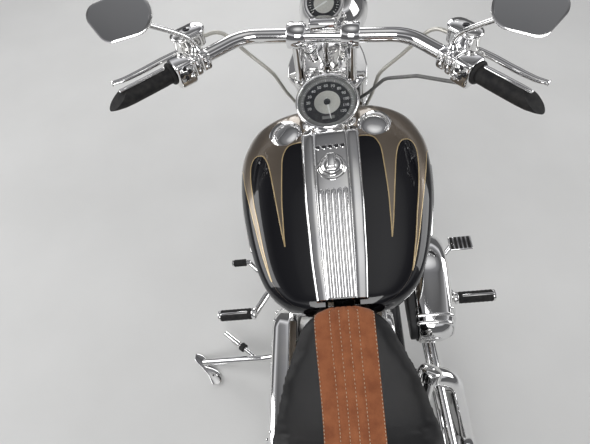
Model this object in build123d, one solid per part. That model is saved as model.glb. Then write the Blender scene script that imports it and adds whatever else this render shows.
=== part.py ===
from build123d import *
from math import atan2, cos, degrees, pi, radians, sin, sqrt, tan
import os

# Chopper motorcycle with a springer fork, leaning on its side stand. Millimetres and degrees.
# It is drawn upright: X forward from the rear axle, Y left, Z up, floor at Z 0. The fork is drawn in
# its own frame on the steering axis: u forward, v left, w up along the axis from the floor.

# Stance
wheelbase = 1670
rake = 32
trail = 132
lean = 8
steer = -7.8
row_x = 800
row_y = 129

# Running clearances
pin_gap = 0.1
race_gap = 0.05
seam = 0.3

# Front wheel
front_tyre_r = 341
front_tyre_width = 84
front_crown_r = 42
front_rim_r = 266.7
front_rim_width = 58
front_hub_half = 50
front_flange_y = 34

# Rear wheel
rear_tyre_r = 328
rear_tyre_width = 204
rear_crown_r = 125
rear_rim_r = 228.6
rear_rim_width = 176
rear_hub_half = 112
rear_flange_y = 66

# Flat sides that stand for a round form
turned_sides = 40
bar_sides = 12
thin_sides = 8
thin_r = 12
cord_sides = 6

# Wheel details
hub_r = 27
flange_r = 47
flange_thick = 6
rim_depth = 17
flange_lip = 13
spoke_pairs = 10
spoke_thick = 4.6
axle_r = 12
disc_r = 146
disc_thick = 5.5
disc_band = 34
pulley_r = 133
belt_width = 24
belt_thick = 7
belt_y = 130

# Neck and steering stem
neck_low = 815
neck_high = 1005
neck_r = 35
race_r = 25.9
race_depth = 18
stem_r = 14

# Fork
leg_y = 80
rigid_foot_u = 25
rigid_foot_w = 378
rigid_head_u = 28
rigid_leg_r = 14
lower_clamp_low = 780
clamp_thick = 25
top_clamp_low = 1010
spring_foot_u = 112
spring_foot_w = 372
spring_head_u = 88
spring_head_w = 811
spring_leg_r = 12
bridge_thick = 16
rod_y = 46
rod_r = 7
rod_top = 1092
spring_r = 24
spring_wire = 7
upper_spring_high = 1077
rocker_y = 97
rocker_thick = 12
rocker_eye_r = 20
stud_r = 8

# Handlebar
bar_x = 1235
bar_z = 1015
bar_bend_y = 184
bar_end_x = 1012
bar_end_y = 417
bar_end_z = 1007
bar_r = 15.9
bar_end_r = 12.7
bar_bend_r = 92
grip_length = 138
grip_r = 19.5
riser_y = 60
riser_r = 14
tach_r = 43
tach_depth = 52
mirror_width = 152
mirror_height = 108
hose_r = 4.5

# Headlamp
lamp_u = 236
lamp_w = 935
lamp_r = 89
lamp_depth = 105

# Frame
rail_r = 16
rail_y = 130
rail_rear_y = 168
rail_z = 136
rail_front_x = 1150
rail_rear_x = 415
backbone_r = 22
swingarm_r = 14
arm_y = 168
seat_post_z = 560
crossbar_r = 14

# Engine
crank_x = 840
crank_z = 315
case_r = 118
case_half = 60
cylinder_angle = 22.5
deck = 140
barrel_top = 272
head_top = 338
rocker_top = 396
barrel_r = 50
fin_half_wide = 66
fin_half_deep = 58
fin_pitch = 19
fin_thick = 6
pushrod_y = 74
pushrod_r = 9
primary_in = 147
primary_out = 232
primary_front_r = 100
primary_rear_r = 124
clutch_x = 562
clutch_z = 302
gearbox_x = 505
gearbox_z = 330
gearbox_top = 416
pipe_r = 22

# Tanks, seat and rear fender
tank_gap_y = 34
console_rear_x = 705
console_half = 61
speedo_x = 1156
speedo_z = 902
speedo_r = 62
pod_r = 71
pod_foot = 10
speedo_tilt = 16
cap_x = 1088
cap_y = 102
cap_z = 871
cap_r = 37
fender_gap = 20
fender_half = 118
sheet = 3
plate_reach = 62
plate_hole_r = 3.3

# Controls and stand
peg_x = 943
peg_y = 407
peg_z = 306
peg_length = 113
peg_r = 17
toe_x = 1106
toe_y = 367
toe_z = 342
stand_x = 872
stand_y = 152
stand_z = 168
stand_foot_x = 893
stand_foot_y = 518
stand_leg_r = 11
stand_eye_r = 21
knee_reach = 157

# The steering frame, and the front axle in it
axis_x = wheelbase + trail
fork_frame = Plane(
    origin=(axis_x, 0, 0),
    x_dir=(cos(radians(rake)), 0, sin(radians(rake))),
    z_dir=(-sin(radians(rake)), 0, cos(radians(rake))),
).location
axle_u = -trail * cos(radians(rake)) + front_tyre_r * sin(radians(rake))
axle_w = trail * sin(radians(rake)) + front_tyre_r * cos(radians(rake))
turned = fork_frame * Rot(0, 0, steer) * fork_frame.inverse()


def round_bar(start, finish, radius):
    """A true cylinder between two points, for bearings and holes."""
    start, finish = Vector(*start), Vector(*finish)
    length = (finish - start).length
    return Plane(origin=start, z_dir=finish - start).location * Pos(0, 0, length / 2) * Cylinder(radius, length)


def rod(start, finish, radius, end_radius=None, sides=0):
    """A bar between two points as a prism of flat sides, its corners at its true radius."""
    sides = sides or (thin_sides if radius < thin_r else bar_sides)
    start, finish = Vector(*start), Vector(*finish)
    length = (finish - start).length
    along = Plane(origin=start, z_dir=finish - start).location
    if end_radius is None:
        return along * extrude(RegularPolygon(radius, sides), length)
    rows = []
    for height, reach in ((0, radius), (length, end_radius)):
        turns = [2 * pi * number / sides for number in range(sides)]
        rows.append([(reach * cos(turn), reach * sin(turn), height) for turn in turns])
    return along * skin(rows)


def polygon(points):
    return Face(Wire.make_polygon([Vector(*point) for point in points]))


def skin(rows):
    """A solid through rows of points, each patch between two rows split in two flat faces."""
    faces = [polygon(rows[0]), polygon(rows[-1])]
    for low, high in zip(rows, rows[1:]):
        for number in range(len(low)):
            after = (number + 1) % len(low)
            faces.append(polygon([low[number], low[after], high[after]]))
            faces.append(polygon([low[number], high[after], high[number]]))
    return Solid(Shell(faces))


def block(low, high, bevel=0):
    size = [high[i] - low[i] for i in range(3)]
    middle = [(high[i] + low[i]) / 2 for i in range(3)]
    solid = Box(*size)
    if bevel:
        solid = chamfer(solid.edges(), bevel)
    return Pos(*middle) * solid


def tube(points, bends, radius, sides=bar_sides):
    """A bent round bar as a prism of flat sides about its true radius."""
    path = FilletPolyline(*points, radius=bends)
    start = Plane(origin=path @ 0, z_dir=path % 0)
    return sweep(start * RegularPolygon(radius, sides), path=path)


def spun(outline, centre=(0, 0, 0), arc=360, sides=turned_sides):
    """Turns an outline of (offset along the axle, radius) about a line along Y through centre, in flat
    sides with their corners at the true radius."""
    steps = round(sides * arc / 360)
    faces = []
    rows = []
    for step in range(steps + 1):
        turn = radians(arc * step / steps)
        rows.append([(radius * sin(turn), y, radius * cos(turn)) for y, radius in outline])
    for near, far in zip(rows, rows[1:]):
        for number in range(len(outline)):
            after = (number + 1) % len(outline)
            corners = [near[number], near[after]]
            if outline[after][1] > 0:
                corners.append(far[after])
            if outline[number][1] > 0:
                corners.append(far[number])
            if len(corners) > 2:
                faces.append(polygon(corners))
    if arc < 360:
        faces += [polygon(rows[0]), polygon(rows[-1])]
    return Pos(*centre) * Solid(Shell(faces))


def slab(outline, y_low, y_high):
    """Extrudes a side-view outline of (X, Z) points, or a face, from y_low to y_high."""
    side = Plane(origin=(0, y_high, 0), x_dir=(1, 0, 0), z_dir=(0, -1, 0))
    face = make_face(Polyline(*outline, close=True)) if isinstance(outline, list) else outline
    return extrude(side * face, y_high - y_low)


def round_hull(circles, sides=None):
    """Side-view face around circles of (X, Z, radius), or around flat-sided ones."""
    edges = []
    for x, z, radius in circles:
        edges += (Pos(x, z) * (RegularPolygon(radius, sides) if sides else Circle(radius))).edges()
    return make_hull(edges)


def both(shape):
    return [shape, mirror(shape, Plane.XZ)]


def joined(shapes):
    first, *rest = shapes
    return first.fuse(*rest) if rest else first


def tyre_outline(radius, width, crown_r, rim_r, rim_width):
    """Points (offset along the axle, radius) of a tyre: crown strips, sidewalls and beads."""
    shoulder = width * 0.46
    crown = []
    for share in (-1, -0.5, 0, 0.5, 1):
        y = shoulder * share
        crown.append((y, radius - crown_r + sqrt(max(crown_r**2 - y**2, 0))))
    wide_r = (crown[0][1] + rim_r) / 2 + 4
    sides = [
        (width / 2, wide_r),
        (rim_width / 2 - seam, rim_r + seam),
        (-rim_width / 2 + seam, rim_r + seam),
        (-width / 2, wide_r),
    ]
    return crown + sides


def lowest(place, centre, outline):
    """Height of the lowest point of a tyre once it is placed."""
    middle = (place * Pos(*centre)).position
    end = (place * Pos(centre[0], centre[1] + 1, centre[2])).position
    slope = end.Z - middle.Z
    return min(middle.Z + y * slope - radius * sqrt(1 - slope**2) for y, radius in outline)


# The leaned frame: both tyres and the stand's foot meet the floor
front_outline = tyre_outline(front_tyre_r, front_tyre_width, front_crown_r, front_rim_r, front_rim_width)
rear_outline = tyre_outline(rear_tyre_r, rear_tyre_width, rear_crown_r, rear_rim_r, rear_rim_width)
leaned = Rot(-lean, 0, 0)
rear_axle_at = (0, 0, rear_tyre_r)
front_axle_at = (wheelbase, 0, front_tyre_r)
rear_low = lowest(leaned, rear_axle_at, rear_outline)
front_low = lowest(leaned * turned, front_axle_at, front_outline)
pitch = degrees(atan2(front_low - rear_low, wheelbase))
tilted = Rot(0, pitch, 0) * leaned
lift = -lowest(tilted, rear_axle_at, rear_outline)
standing = Pos(-row_x, -row_y, lift) * tilted


def laced_wheel(rim_r, rim_width, hub_half, flange_y):
    """Rim, hub and crossed spokes, about the Y axis."""
    half = rim_width / 2
    inner = rim_r - rim_depth
    lip = 6
    rim = spun(
        [
            (-half - lip, rim_r + flange_lip - 1),
            (-half, rim_r),
            (half, rim_r),
            (half + lip, rim_r + flange_lip - 1),
            (half + lip, inner),
            (-half - lip, inner),
        ]
    )
    hub = rod((0, -hub_half, 0), (0, hub_half, 0), hub_r, sides=16)
    pieces = [rim, hub]
    for side in (-1, 1):
        low, high = sorted((side * (flange_y - flange_thick), side * flange_y))
        pieces.append(rod((0, low, 0), (0, high, 0), flange_r, sides=20))
        for number in range(2 * spoke_pairs):
            leading = 1 if number % 2 else -1
            spread = 2 * pi / (2 * spoke_pairs)
            turn = number * spread + (spread / 2 if side > 0 else 0)
            hub_y = side * (flange_y - flange_thick / 2 + 3 * leading)
            rim_y = side * (half * 0.2 + 2.5 * leading)
            hub_turn = turn + leading * radians(62)
            start = (
                (flange_r - 5) * cos(hub_turn),
                hub_y,
                (flange_r - 5) * sin(hub_turn),
            )
            finish = ((inner + 3) * cos(turn), rim_y, (inner + 3) * sin(turn))
            along = Plane(origin=start, z_dir=Vector(*finish) - Vector(*start)).location
            length = (Vector(*finish) - Vector(*start)).length
            pieces.append(along * Pos(0, 0, length / 2) * Box(spoke_thick, spoke_thick, length))
    wheel = joined(pieces)
    return wheel - round_bar((0, -hub_half - 1, 0), (0, hub_half + 1, 0), axle_r + pin_gap)


def brake_disc(y_low):
    high = y_low + disc_thick
    band = spun([(y_low, disc_r - disc_band), (y_low, disc_r), (high, disc_r), (high, disc_r - disc_band)])
    inner = hub_r + seam
    carrier = spun([(y_low, inner), (y_low, flange_r + 3), (high, flange_r + 3), (high, inner)])
    arms = []
    for number in range(5):
        arm = block((flange_r - 2, y_low, -11), (disc_r - disc_band + 3, high, 11))
        arms.append(Rot(0, 72 * number, 0) * arm)
    return joined([carrier, band] + arms)


# Wheels
front_disc_y = front_hub_half - disc_thick
rear_disc_y = -rear_hub_half + disc_thick


def front_wheel():
    wheel = laced_wheel(front_rim_r, front_rim_width, front_hub_half, front_flange_y)
    return Pos(*front_axle_at) * wheel


def front_tyre():
    return spun(front_outline, front_axle_at)


def front_disc():
    return Pos(*front_axle_at) * brake_disc(front_disc_y)


def rear_wheel():
    wheel = laced_wheel(rear_rim_r, rear_rim_width, rear_hub_half, rear_flange_y)
    return Pos(*rear_axle_at) * wheel


def rear_tyre():
    return spun(rear_outline, rear_axle_at)


def rear_disc():
    return Pos(*rear_axle_at) * brake_disc(-rear_hub_half)


def rear_pulley():
    low, high = belt_y - belt_width / 2, belt_y + belt_width / 2
    rim = spun([(low, pulley_r - 16), (low, pulley_r), (high, pulley_r), (high, pulley_r - 16)])
    web_high = rear_hub_half
    web = spun([(web_high - 7, hub_r + 1), (web_high - 7, flange_r), (web_high, flange_r), (web_high, hub_r + 1)])
    arms = []
    for number in range(5):
        arm = block((flange_r - 4, web_high - 7, -17), (pulley_r - 12, web_high, 17))
        foot = block((pulley_r - 24, web_high - 7, -17), (pulley_r - 12, belt_y, 17))
        arms.append(Rot(0, 72 * number, 0) * (arm + foot))
    return Pos(*rear_axle_at) * joined([rim, web] + arms)


# Frame
def on_axis(w, u=0, v=0):
    return (fork_frame * Pos(u, v, w)).position


def backbone():
    neck = round_bar(on_axis(neck_low), on_axis(neck_high), neck_r)
    spine = tube(
        [on_axis(930), (1130, 0, 790), (900, 0, 764), (690, 0, 722), (rail_rear_x + 5, 0, seat_post_z - 4)],
        [120, 120, 60],
        backbone_r,
    )
    gusset = slab(
        [(1262, 790), (1150, 776), (1190, 700), (1310, 700)],
        -7,
        7,
    )
    lug_y = tank_gap_y - seam
    lugs = [block((x, -lug_y, z), (x + 34, lug_y, z + 30)) for x, z in ((872, 744), (1076, 766))]
    reach = rail_rear_y - rail_r - seam
    bar_height = seat_post_z - 4
    crossbar = rod((rail_rear_x, -reach, bar_height), (rail_rear_x, reach, bar_height), crossbar_r)
    race = round_bar(on_axis(neck_low - 5), on_axis(neck_high + 5), race_r + race_gap)
    return joined([neck, spine, gusset, crossbar] + lugs) - race


def rail_head(side=1):
    return on_axis(neck_low + 34, -18, side * 26)


def down_tube(z, side=1):
    """Point on the front down tube's straight run at a height."""
    high = rail_head(side)
    low = Vector(rail_front_x, side * (rail_y - 30), rail_z + 90)
    return high + (low - high) * ((high.Z - z) / (high.Z - low.Z))


def frame_rails():
    head = rail_head()
    left = tube(
        [
            tuple(head),
            (rail_front_x, rail_y - 30, rail_z + 90),
            (rail_front_x - 110, rail_y, rail_z),
            (rail_rear_x + 120, rail_y, rail_z),
            (rail_rear_x, rail_rear_y, rail_z + 60),
            (rail_rear_x, rail_rear_y, seat_post_z + 30),
        ],
        [70, 60, 70, 60],
        rail_r,
    )
    neck_room = round_bar(on_axis(neck_low - 20), on_axis(neck_high), neck_r + seam)
    left = left - neck_room
    return both(left)


def upper_arm(side, radius):
    start = (34, side * arm_y, rear_tyre_r + 20)
    return rod(start, (rail_rear_x - rail_r - swingarm_r - seam, side * arm_y, 520), radius)


def swingarm():
    front_x = rail_rear_x - rail_r - swingarm_r - seam
    low_z = 236
    high_z = 520
    pieces = []
    for side in (-1, 1):
        y = side * arm_y
        low, high = (front_x, y, low_z), (front_x, y, high_z)
        axle_end = (34, y, rear_tyre_r)
        pieces.append(rod(axle_end, low, swingarm_r))
        pieces.append(upper_arm(side, swingarm_r))
        pieces.append(rod(low, high, swingarm_r))
        pieces.append(block((-38, y - swingarm_r, rear_tyre_r - 28), (70, y + swingarm_r, rear_tyre_r + 34), 5))
    pieces.append(rod((front_x, -arm_y, low_z - 6), (front_x, arm_y, low_z - 6), swingarm_r))
    pieces.append(rod((front_x, -arm_y, high_z), (front_x, arm_y, high_z), swingarm_r))
    hole = round_bar((0, -arm_y - 30, rear_tyre_r), (0, arm_y + 30, rear_tyre_r), axle_r + pin_gap)
    return joined(pieces) - hole


def rear_axle():
    shaft = round_bar((0, -arm_y - 26, rear_tyre_r), (0, arm_y + 26, rear_tyre_r), axle_r)
    pieces = [shaft]
    for side in (-1, 1):
        inside = side * (arm_y - swingarm_r - seam)
        outside = side * (arm_y + swingarm_r + seam)
        hub_end = side * (rear_hub_half + 1)
        pieces.append(rod((0, hub_end, rear_tyre_r), (0, inside, rear_tyre_r), axle_r + 6))
        pieces.append(rod((0, outside, rear_tyre_r), (0, outside + side * 12, rear_tyre_r), 18))
    return joined(pieces)


def rear_caliper():
    angle = radians(60)
    middle_r = disc_r - 12
    x, z = middle_r * cos(angle), rear_tyre_r + middle_r * sin(angle)
    body = block((x - 42, -rear_hub_half - 22, z - 26), (x + 42, -rear_hub_half + 24, z + 46), 6)
    slot = block((x - 60, -rear_hub_half - 2, z - 60), (x + 60, -rear_hub_half + disc_thick + 2, z + 34))
    arm = block((x + 20, -arm_y - 6, z - 8), (x + 40, -rear_hub_half - 10, z + 14))
    leg = block((x + 20, -arm_y - 6, rear_tyre_r + 48), (x + 40, -arm_y + 6, z + 14))
    return joined([body, arm, leg - upper_arm(-1, swingarm_r + seam)]) - slot


def drive_belt():
    inner = round_hull(
        [(0, rear_tyre_r, pulley_r + seam), (gearbox_x, gearbox_z, 36)]
    )
    outer = round_hull(
        [(0, rear_tyre_r, pulley_r + seam + belt_thick), (gearbox_x, gearbox_z, 36 + belt_thick)]
    )
    return slab(outer - inner, belt_y - belt_width / 2, belt_y + belt_width / 2)


# Engine
def cylinder_place(side):
    """Frame at the crank with local Z up the cylinder: side 1 is the front cylinder, -1 the rear one."""
    return Pos(crank_x, 0, crank_z) * Rot(0, side * cylinder_angle, 0)


def crankcase():
    half = 62
    deck_ends = []
    for side, across in ((1, half), (1, -half), (-1, half), (-1, -half)):
        angle = radians(side * cylinder_angle)
        x = deck * sin(angle) + across * cos(angle)
        z = deck * cos(angle) - across * sin(angle)
        deck_ends.append((x, z))
    valley_z = deck / cos(radians(cylinder_angle))
    outline = make_face(
        Polyline(
            (-case_r, 0),
            (case_r, 0),
            deck_ends[0],
            (0, valley_z),
            deck_ends[3],
            close=True,
        )
    )
    sump = make_face(Polyline((-case_r - 18, 10), (-case_r + 10, -case_r - 8), (case_r - 30, -case_r - 8), (case_r, 0), close=True))
    face = Pos(crank_x, crank_z) * (outline + Circle(case_r) + sump)
    body = slab(face, -case_half, case_half)
    output = rod((crank_x, case_half - 1, crank_z), (crank_x, primary_in, crank_z), 70)
    feet = []
    for low_x, high_x, top in ((-95, -65, crank_z - 110), (72, 100, crank_z - 70)):
        foot = block((crank_x + low_x, -rail_y, rail_z - 8), (crank_x + high_x, rail_y, top))
        for side in (1, -1):
            rail = round_bar((crank_x - 150, side * rail_y, rail_z), (crank_x + 150, side * rail_y, rail_z), rail_r + 0.05)
            foot = foot - rail
        feet.append(foot)
    return joined([body, output] + feet)


def cylinders():
    pieces = []
    for side in (1, -1):
        core = chamfer(Rectangle(2 * barrel_r, 2 * barrel_r).vertices(), barrel_r * 0.5)
        stack = [extrude(Pos(0, 0, deck + seam) * core, head_top - deck - seam)]
        fin = Rectangle(2 * fin_half_wide, 2 * fin_half_deep)
        fin = chamfer(fin.vertices(), 20)
        height = deck + 10
        while height < head_top - fin_thick:
            grow = 1.08 if height > barrel_top else 1
            layer = extrude(Pos(0, 0, height) * scale(fin, grow), fin_thick)
            stack.append(layer)
            height += fin_pitch
        base = extrude(Pos(0, 0, deck + seam) * fin, 6)
        whole = cylinder_place(side) * joined(stack + [base])
        wall = side * 1.5
        keep = Box(600, 400, 900)
        keep = Pos(crank_x + wall + side * 300, 0, crank_z + 300) * keep
        pieces.append(whole & keep)
    return pieces


def rocker_boxes():
    pieces = []
    for side in (1, -1):
        low = chamfer(Rectangle(2 * fin_half_wide + 4, 150).vertices(), 26)
        high = chamfer(Rectangle(2 * fin_half_wide - 28, 116).vertices(), 22)
        middle = (head_top + rocker_top) / 2 - 6
        lower = extrude(Pos(0, -8, head_top + seam) * low, middle - head_top)
        upper = extrude(Pos(0, -2, middle) * high, rocker_top - middle)
        upper = chamfer(upper.edges().group_by(Axis.Z)[-1], 7)
        pieces.append(cylinder_place(side) * joined([lower, upper]))
    return pieces


def cam_cover():
    nose = round_hull([(crank_x, crank_z - 6, 88), (crank_x + 46, crank_z + 48, 42), (crank_x - 46, crank_z + 48, 42)], 20)
    body = slab(nose, -case_half - 34, -case_half - seam)
    boss = rod((crank_x, -case_half - 30, crank_z), (crank_x, -case_half - 52, crank_z), 66, 58)
    pieces = [body, boss]
    for side in (1, -1):
        place = cylinder_place(side)
        block_low, block_high = 92, deck + 14
        lifter = block((-30, -pushrod_y - 15, block_low), (30, -case_half - seam, block_high), 4)
        pieces.append(place * lifter)
        for across in (-15, 15):
            tube_low, tube_high = block_high, head_top
            cover = rod((across, -pushrod_y, tube_low), (across, -pushrod_y, tube_high), pushrod_r)
            pieces.append(place * cover)
    return joined(pieces)


def intake():
    y = -fin_half_deep - 34
    centre_z = crank_z + 258
    throat = rod((crank_x, -12, centre_z), (crank_x, y - 44, centre_z), 24)
    carb = block((crank_x - 30, y - 34, centre_z - 44), (crank_x + 30, y + 14, centre_z + 34), 6)
    plate = slab(
        round_hull([(crank_x + 26, centre_z + 6, 84), (crank_x - 84, centre_z - 10, 42)], 20),
        y - 60,
        y - 44,
    )
    manifold = rod((crank_x - 70, -22, centre_z), (crank_x + 70, -22, centre_z), 17)
    reach = fin_half_wide + seam
    for side in (1, -1):
        manifold = manifold - cylinder_place(side) * block((-reach, -70, deck), (reach, 70, head_top))
    return joined([throat, carb, plate, manifold])


def air_cleaner():
    y = -fin_half_deep - 34 - 60 - seam
    centre_z = crank_z + 258
    face = round_hull([(crank_x + 26, centre_z + 6, 98), (crank_x - 86, centre_z - 10, 52)], 20)
    body = slab(face, y - 84, y)
    return chamfer(body.edges().group_by(Axis.Y)[0], 30)


def primary_cover():
    face = round_hull([(crank_x, crank_z, primary_front_r), (clutch_x, clutch_z, primary_rear_r)], 24)
    body = slab(face, primary_in + seam, primary_out - 14)
    body = chamfer(body.edges().group_by(Axis.Y)[-1], 16)
    derby = rod((clutch_x, primary_out - 20, clutch_z), (clutch_x, primary_out, clutch_z), 74, sides=24)
    stator = rod((crank_x, primary_out - 20, crank_z), (crank_x, primary_out - 4, crank_z), 52, sides=24)
    return joined([body, derby, stator])


def gearbox():
    case = slab(
        [(452, 262), (590, 250), (668, 300), (662, 396), (600, gearbox_top), (456, gearbox_top)],
        -112,
        104,
    )
    case = chamfer(case.edges().filter_by(Axis.Y), 8)
    pulley = rod((gearbox_x, 100, gearbox_z), (gearbox_x, belt_y + belt_width / 2, gearbox_z), 36 - seam)
    kick = rod((590, -130, 330), (590, -108, 330), 52)
    return joined([case, pulley, kick])


def exhausts():
    rear = tube(
        [(652.6, -24, 567.4), (617, -36, 552), (648, -216, 500), (566, -250, 290), (330, -253, 252)],
        [26, 60, 90],
        pipe_r,
    )
    front = tube(
        [(1027.6, -4, 567.4), (1124, -12, 527), (1056, -208, 166), (300, -240, 158)],
        [50, 90],
        pipe_r,
    )
    muffler_rear = rod((330, -253, 252), (-330, -258, 222), 40)
    muffler_front = rod((300, -240, 158), (-300, -262, 158), 40)
    return [joined([rear, muffler_rear]), joined([front, muffler_front])]


def oil_tank():
    face = make_face(Polyline((438, 436), (572, 436), (578, 540), (472, 540), (438, 520), close=True))
    body = slab(face, -138, 138)
    body = chamfer(body.edges().filter_by(Axis.Y), 12)
    feet = block((480, -60, gearbox_top + seam), (556, 60, 440))
    neck = rod((542, -126, 505), (612, -158, 594), 15)
    cap = rod((606, -155, 586), (624, -164, 609), 25)
    return joined([body, feet, neck, cap])


# Bodywork
def tank_section(x, half, top, middle, bottom):
    inner = tank_gap_y
    wide = half - inner
    outline = [
        (inner, bottom),
        (half - 0.16 * wide, bottom),
        (half - 0.03 * wide, middle - 0.42 * (middle - bottom)),
        (half, middle),
        (half - 0.03 * wide, middle + 0.4 * (top - middle)),
        (half - 0.14 * wide, top - 22),
        (half - 0.36 * wide, top - 8),
        (half - 0.66 * wide, top - 1),
        (inner, top),
    ]
    return [(x, y, z) for y, z in outline]


def fuel_tanks():
    # X, half width, top, height of the widest line, bottom
    stations = [
        (1182, 110, 846, 806, 776),
        (1158, 166, 866, 808, 734),
        (1050, 211, 870, 800, 712),
        (900, 203, 838, 772, 708),
        (770, 162, 802, 750, 708),
        (700, 108, 778, 748, 718),
    ]
    left = skin([tank_section(*station) for station in stations])
    pocket = cap_place() * Pos(0, 0, 4) * Cylinder(cap_r + seam, 20)
    pod_room = speedo_place() * Cylinder(pod_r + seam, 120)
    return both(left - pocket - pod_room)


def speedo_place():
    return Pos(speedo_x, 0, speedo_z) * Rot(0, -speedo_tilt, 0)


def cap_place():
    return Pos(cap_x, cap_y, cap_z - 6) * Rot(-6, -10, 0)


def tank_console():
    # X, half width, top, bottom
    stations = [
        (1190, 44, 890, 868.5),
        (1165, console_half, 893, 869.5),
        (1050, console_half + 3, 887, 871.5),
        (900, console_half + 1, 852, 839.5),
        (770, console_half - 5, 815, 803.5),
        (console_rear_x, 50, 790, 780),
    ]
    sections = []
    for x, half, top, bottom in stations:
        corners = [(x, -half, bottom), (x, -half + 14, top), (x, half - 14, top), (x, half, bottom)]
        sections.append(corners)
    strip = skin(sections)
    cup = Cylinder(pod_r, 30)
    cup = chamfer(cup.edges().group_by(Axis.Z)[0], pod_foot)
    pod = speedo_place() * Pos(0, 0, -17) * chamfer(cup.edges().group_by(Axis.Z)[-1], 5)
    hole = speedo_place() * Pos(0, 0, 4) * Cylinder(speedo_r + 3 + seam, 28)
    key = rod((961, 0, 850), (965, 0, 888), 27)
    return joined([strip, pod, key]) - hole


def speedometer():
    return speedo_place() * Pos(0, 0, -3) * Cylinder(speedo_r + 3, 13)


def fuel_caps():
    return both(cap_place() * Pos(0, 0, 1) * Cylinder(cap_r, 13))


def seat():
    # X, half width, top, bottom
    stations = [
        (699.7, 40, 782, 762),
        (660, 92, 768, 742),
        (590, 134, 715, 690),
        (480, 170, 652, 622),
        (360, 176, 660, 606),
        (265, 150, 708, 640),
        (225, 96, 722, 668),
    ]
    sections = []
    for x, half, top, bottom in stations:
        rise = top - bottom
        outline = [
            (half * 0.9, bottom),
            (half, bottom + 0.38 * rise),
            (half * 0.93, bottom + 0.66 * rise),
            (half * 0.7, bottom + 0.88 * rise),
            (half * 0.34, bottom + 0.98 * rise),
        ]
        corners = [(x, y, z) for y, z in outline] + [(x, -y, z) for y, z in reversed(outline)]
        sections.append(corners)
    return skin(sections)


def rear_fender():
    inner_r = rear_tyre_r + fender_gap
    outer_r = inner_r + sheet
    outer = [(-fender_half, 262), (-fender_half, inner_r - 26), (-fender_half + 26, outer_r), (fender_half - 26, outer_r), (fender_half, inner_r - 26), (fender_half, 262)]
    inner = [(fender_half - sheet, 262), (fender_half - sheet, inner_r - 27), (fender_half - 27.5, inner_r), (-fender_half + 27.5, inner_r), (-fender_half + sheet, inner_r - 27), (-fender_half + sheet, 262)]
    return Pos(*rear_axle_at) * Rot(0, -110, 0) * spun(outer + inner, arc=158)


def fender_struts():
    front = rail_rear_x - crossbar_r - seam
    outline = [(front, 544), (front, 574), (120, 592), (-170, 556), (-176, 532), (-140, 522), (110, 556)]
    return both(slab(outline, fender_half + seam, fender_half + seam + 12))


def tail_lamp():
    place = Pos(0, 0, rear_tyre_r) * Rot(0, -68, 0) * Pos(0, 0, rear_tyre_r + fender_gap + sheet + seam)
    lamp = place * Pos(0, 0, 20) * chamfer(Box(64, 104, 40).edges(), 8)
    return lamp


def plate_bracket():
    low_z = rear_tyre_r + 80
    skin_x = -sqrt((rear_tyre_r + fender_gap + sheet) ** 2 - 80**2)
    back_x = skin_x - plate_reach
    plate = block((back_x, -92, low_z), (back_x + 6, 92, low_z + 112))
    foot = block((back_x + 4, -30, low_z), (skin_x, 30, low_z + 8))
    bolt_z = low_z + 92
    holes = [round_bar((back_x - 6, y, bolt_z), (back_x + 14, y, bolt_z), plate_hole_r) for y in (-73, 73)]
    return joined([plate, foot]) - joined(holes)


# Fork parts, drawn in the steering frame
def fork_leg(u_low, w_low, u_high, w_high, radius, side):
    return rod((u_low, side * leg_y, w_low), (u_high, side * leg_y, w_high), radius)


def rigid_fork():
    pieces = []
    for side in (-1, 1):
        pieces.append(fork_leg(rigid_foot_u, rigid_foot_w, rigid_head_u, top_clamp_low, rigid_leg_r, side))
        eye = rod((rigid_foot_u, side * (leg_y - 13), rigid_foot_w), (rigid_foot_u, side * (leg_y + 15), rigid_foot_w), 17)
        stud = rod((rigid_foot_u, side * leg_y, rigid_foot_w), (rigid_foot_u, side * (rocker_y + rocker_thick + 8), rigid_foot_w), stud_r)
        pieces += [eye, stud]
    plate = make_face(Polyline((-34, -24), (4, -98), (48, -98), (54, -30), (54, 30), (48, 98), (4, 98), (-34, 24), close=True))
    lower = extrude(Pos(0, 0, lower_clamp_low) * plate, clamp_thick)
    stem = rod((0, 0, lower_clamp_low), (0, 0, top_clamp_low), stem_r)
    low_race = round_bar((0, 0, neck_low), (0, 0, neck_low + race_depth), race_r)
    high_race = round_bar((0, 0, neck_high - race_depth), (0, 0, neck_high), race_r)
    return fork_frame * joined(pieces + [lower, stem, low_race, high_race])


def top_clamp():
    plate = make_face(Polyline((-34, -30), (6, -98), (50, -98), (112, -66), (112, 66), (50, 98), (6, 98), (-34, 30), close=True))
    solid = extrude(Pos(0, 0, top_clamp_low + seam) * plate, clamp_thick)
    nut = rod((0, 0, top_clamp_low + clamp_thick), (0, 0, top_clamp_low + clamp_thick + 7), 17)
    holes = [round_bar((spring_head_u, side * rod_y, top_clamp_low - 5), (spring_head_u, side * rod_y, top_clamp_low + clamp_thick + 5), rod_r + seam) for side in (-1, 1)]
    return fork_frame * (joined([solid, nut]) - joined(holes))


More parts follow.
